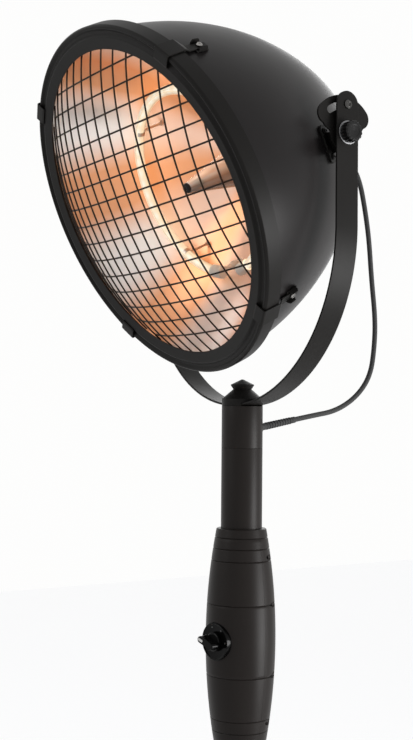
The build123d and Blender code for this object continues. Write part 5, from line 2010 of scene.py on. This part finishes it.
@dataclass
class HeadLead:
    """Rubber lead that hangs from the head's gland to the sleeve in the post's top tube."""

    radius: float = 0.00325
    points: Tuple[Tuple[float, float], ...] = (
        (0.15229, 1.96455), (0.17224, 1.96591), (0.1850, 1.9440), (0.1930, 1.9120), (0.2004, 1.8720),
        (0.2050, 1.8190), (0.2118, 1.7670), (0.2105, 1.7300), (0.2040, 1.6920), (0.1810, 1.6640),
        (0.1460, 1.6450), (0.10717, 1.63883), (0.07964, 1.63373),
    )
    sleeve_tilt: float = math.radians(10.5)
    sleeve_z: float = 1.6236
    sleeve_start: float = 0.0216
    sleeve_end: float = 0.081
    nose_r: float = 0.0044
    nose_taper: float = 0.0005
    ribs: Tuple[float, float] = (0.036, 0.076)
    rib_height: float = 0.00035
    rib_pitch: float = 0.004
    post_r: float = 0.025

    def route(self) -> Array:
        """Points of the route's smooth spline.

        Returns:
            An (n, 3) array, as a curve with no bevel gives them.
        """
        curve = bpy.data.curves.new("lead_route", "CURVE")
        curve.dimensions, curve.resolution_u = "3D", 12
        spline = curve.splines.new("NURBS")
        spline.points.add(len(self.points) - 1)
        spline.points.foreach_set("co", np.array([(0.0, y, z, 1.0) for y, z in self.points]).ravel())
        spline.order_u, spline.use_endpoint_u = 3, True
        holder = put_in_scene("lead_route", curve)
        mesh = settled(holder)
        found = np.zeros(len(mesh.vertices) * 3, np.float64)
        mesh.vertices.foreach_get("co", found)
        bpy.data.objects.remove(holder)
        return found.reshape(-1, 3)

    def lead(self) -> None:
        """Round tube along the route, bending between the post and the head."""
        path = self.route()
        draft = MeshDraft().tube(path, self.radius, np.array([1.0, 0, 0]), 20)
        piece = draft.build("head_lead", 60, keep_uv=True)
        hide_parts("head_cable")
        RUBBER.dress(piece)
        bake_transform(piece)

    def sleeve(self) -> None:
        """Strain relief: a collar on the tube and a tapered nose with ribs."""
        rise, low, high = self.sleeve_tilt, self.sleeve_start, self.sleeve_end
        spot = frame_matrix((0, 0, self.sleeve_z - self.post_r * math.tan(rise)), (1, 0, 0),
                            (0, math.cos(rise), math.sin(rise)))
        s, (first, last) = np.linspace(low, high, 240), self.ribs
        r = self.nose_r - (s - low) / (high - low) * self.nose_taper
        wave = self.rib_height * np.clip(3 * np.sin((s - first) * TAU / self.rib_pitch), -1, 1)
        r = r + np.where((s > first) & (s < last), wave, 0)
        outline = np.concatenate([[(0, low)], np.column_stack([r, s]), [(0, high)]])
        collar = rounded([(0.0040, 0.0255), (0.0066, 0.0262), (0.0066, 0.0274), (0.0050, 0.0290),
                          (0.0040, 0.0290)], 0.0005, 4, True)
        draft = MeshDraft().lathe(outline, spot, 36, closed=False).lathe(collar, spot, 36)
        add(draft, "lead_sleeve", "post_gland", RUBBER, smooth=35)

    def build(self) -> None:
        """Builds and dresses the lead and its sleeve."""
        self.lead()
        self.sleeve()


@dataclass
class InnerPieces:
    """CAD solids that stay as they are and only get their finish."""

    frame: dict
    finishes: Tuple[Tuple[str, Finish], ...] = (
        ("base_weight", CAST), ("pole_coupler", PLAIN_STEEL), ("post_spine", PLAIN_STEEL),
        ("switch_body", MATTE_BLACK), ("top_coupler", PLAIN_STEEL), ("top_plug", PLAIN_STEEL),
        ("terminal_plate", PLAIN_STEEL), ("terminal_block", STEATITE),
    )

    def build(self) -> None:
        """Dresses each node by name."""
        for node, finish in self.finishes:
            finish.dress(self.frame["nodes"][node])
            LOG.info("node %s keeps its solid, finish %s", node, finish.name)


# ---------------------------------------------------------------- studio


@dataclass
class Studio:
    """Pale floor, soft lamps and the camera at the photograph's angle."""

    eye: Triple = (1.2102, -0.8369, 1.6422)
    yaw: float = math.radians(57.05)
    pitch: float = math.radians(2.0)
    roll: float = math.radians(0.5)
    lens: float = 58.67
    background: float = 1.0
    daylight: float = 0.46
    bright_gain: float = 2.2
    bright_side: Triple = (0.75, 0.55, -0.35)
    bright_zone: Tuple[float, float] = (-0.2, 0.9)
    light_colour: Triple = (0.97, 0.975, 1.0)
    seen_colour: Triple = (0.985, 0.985, 0.98)
    floor_half: float = 9.0
    lamps: Tuple[Tuple[str, Triple, Triple, float, float], ...] = (
        ("soft_right", (1.9, 1.5, 1.15), (0, 0, 1.75), 1.2, 62),
        ("soft_front", (-0.6, -2.9, 3.0), (0, -0.1, 1.7), 2.0, 20),
        ("soft_rear", (-1.8, 1.8, 2.6), (0, 0, 1.7), 1.6, 14),
    )

    def camera(self) -> None:
        """Camera from yaw, pitch and roll: forward, right and up as unit vectors."""
        data = bpy.data.cameras.new("view")
        data.lens, data.sensor_width, data.sensor_fit = self.lens, 36.0, "AUTO"
        data.clip_start, data.clip_end = 0.05, 50.0
        ahead = math.cos(self.pitch)
        f = np.array([-math.sin(self.yaw) * ahead, math.cos(self.yaw) * ahead, math.sin(self.pitch)])
        r = np.array([math.cos(self.yaw), math.sin(self.yaw), 0.0])
        u = np.cross(r, f)
        c, s = math.cos(self.roll), math.sin(self.roll)
        m = np.eye(4)
        m[:3, 0], m[:3, 1], m[:3, 2], m[:3, 3] = r * c + u * s, -r * s + u * c, -f, self.eye
        view = put_in_scene("view", data)
        view.matrix_world = Matrix(m.tolist())
        bpy.context.scene.camera = view

    def world(self) -> None:
        """Plain world: white to the camera and in reflections, softer as light."""
        world = bpy.data.worlds.new("studio")
        bpy.context.scene.world = world
        world.use_nodes = True
        world.node_tree.nodes.clear()
        w = Wiring(world.node_tree)
        way = w.at("Generated")
        toward = w.node("ShaderNodeVectorMath", way, Vector(self.bright_side).normalized(),
                        operation="DOT_PRODUCT")
        levels = (self.daylight, self.daylight * self.bright_gain)
        level = w.span((toward, "Value"), levels, self.bright_zone, interpolation_type="SMOOTHSTEP")
        light = w.node("ShaderNodeBackground", shade(self.light_colour), level)
        seen = w.node("ShaderNodeBackground", shade(self.seen_colour), self.background)
        mix = w.node("ShaderNodeMixShader", seen_directly(w), (light, "Background"),
                     (seen, "Background"))
        w.node("ShaderNodeOutputWorld", (mix, "Shader"))

    def floor(self) -> None:
        """Wide pale floor that keeps the shadow and fades into the background."""
        h = self.floor_half
        points = np.array([[(-h, -h, 0.0), (h, -h, 0.0)], [(-h, h, 0.0), (h, h, 0.0)]])
        plane = MeshDraft().grid(points).build("studio_floor")
        PaleFloor("pale_floor").dress(plane)

    def lamp(self, name: str, where: Triple, aim: Triple, size: float, power: float) -> None:
        """One soft area lamp that looks at a point.

        Args:
            name: Name of the lamp.
            where: Its place.
            aim: The point that it looks at.
            size: Width of its disc.
            power: Its power in watts.
        """
        data = bpy.data.lights.new(name, "AREA")
        data.shape, data.size, data.energy = "DISK", size, power
        way = Vector(aim) - Vector(where)
        turn = way.to_track_quat("-Z", "Y").to_matrix().to_4x4()
        put_in_scene(name, data).matrix_world = Matrix.Translation(where) @ turn

    def build(self) -> None:
        """Sets the view, the world, the floor and the lamps."""
        bpy.context.scene.view_settings.view_transform = "Standard"
        self.camera()
        self.world()
        self.floor()
        for each in self.lamps:
            self.lamp(*each)


def main() -> None:
    """Builds the tower piece by piece."""
    logging.basicConfig(level=logging.INFO, format="%(name)s %(message)s")
    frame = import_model()
    InnerPieces(frame).build()
    BaseAssembly().build()
    PostAssembly().build()
    ControlHousing().build()
    YokeAssembly().build()
    head = LampHead()
    head.build()
    TiltBrackets(head).build()
    HeadLead().build()
    Studio().build()


if __name__ == "__main__":
    main()
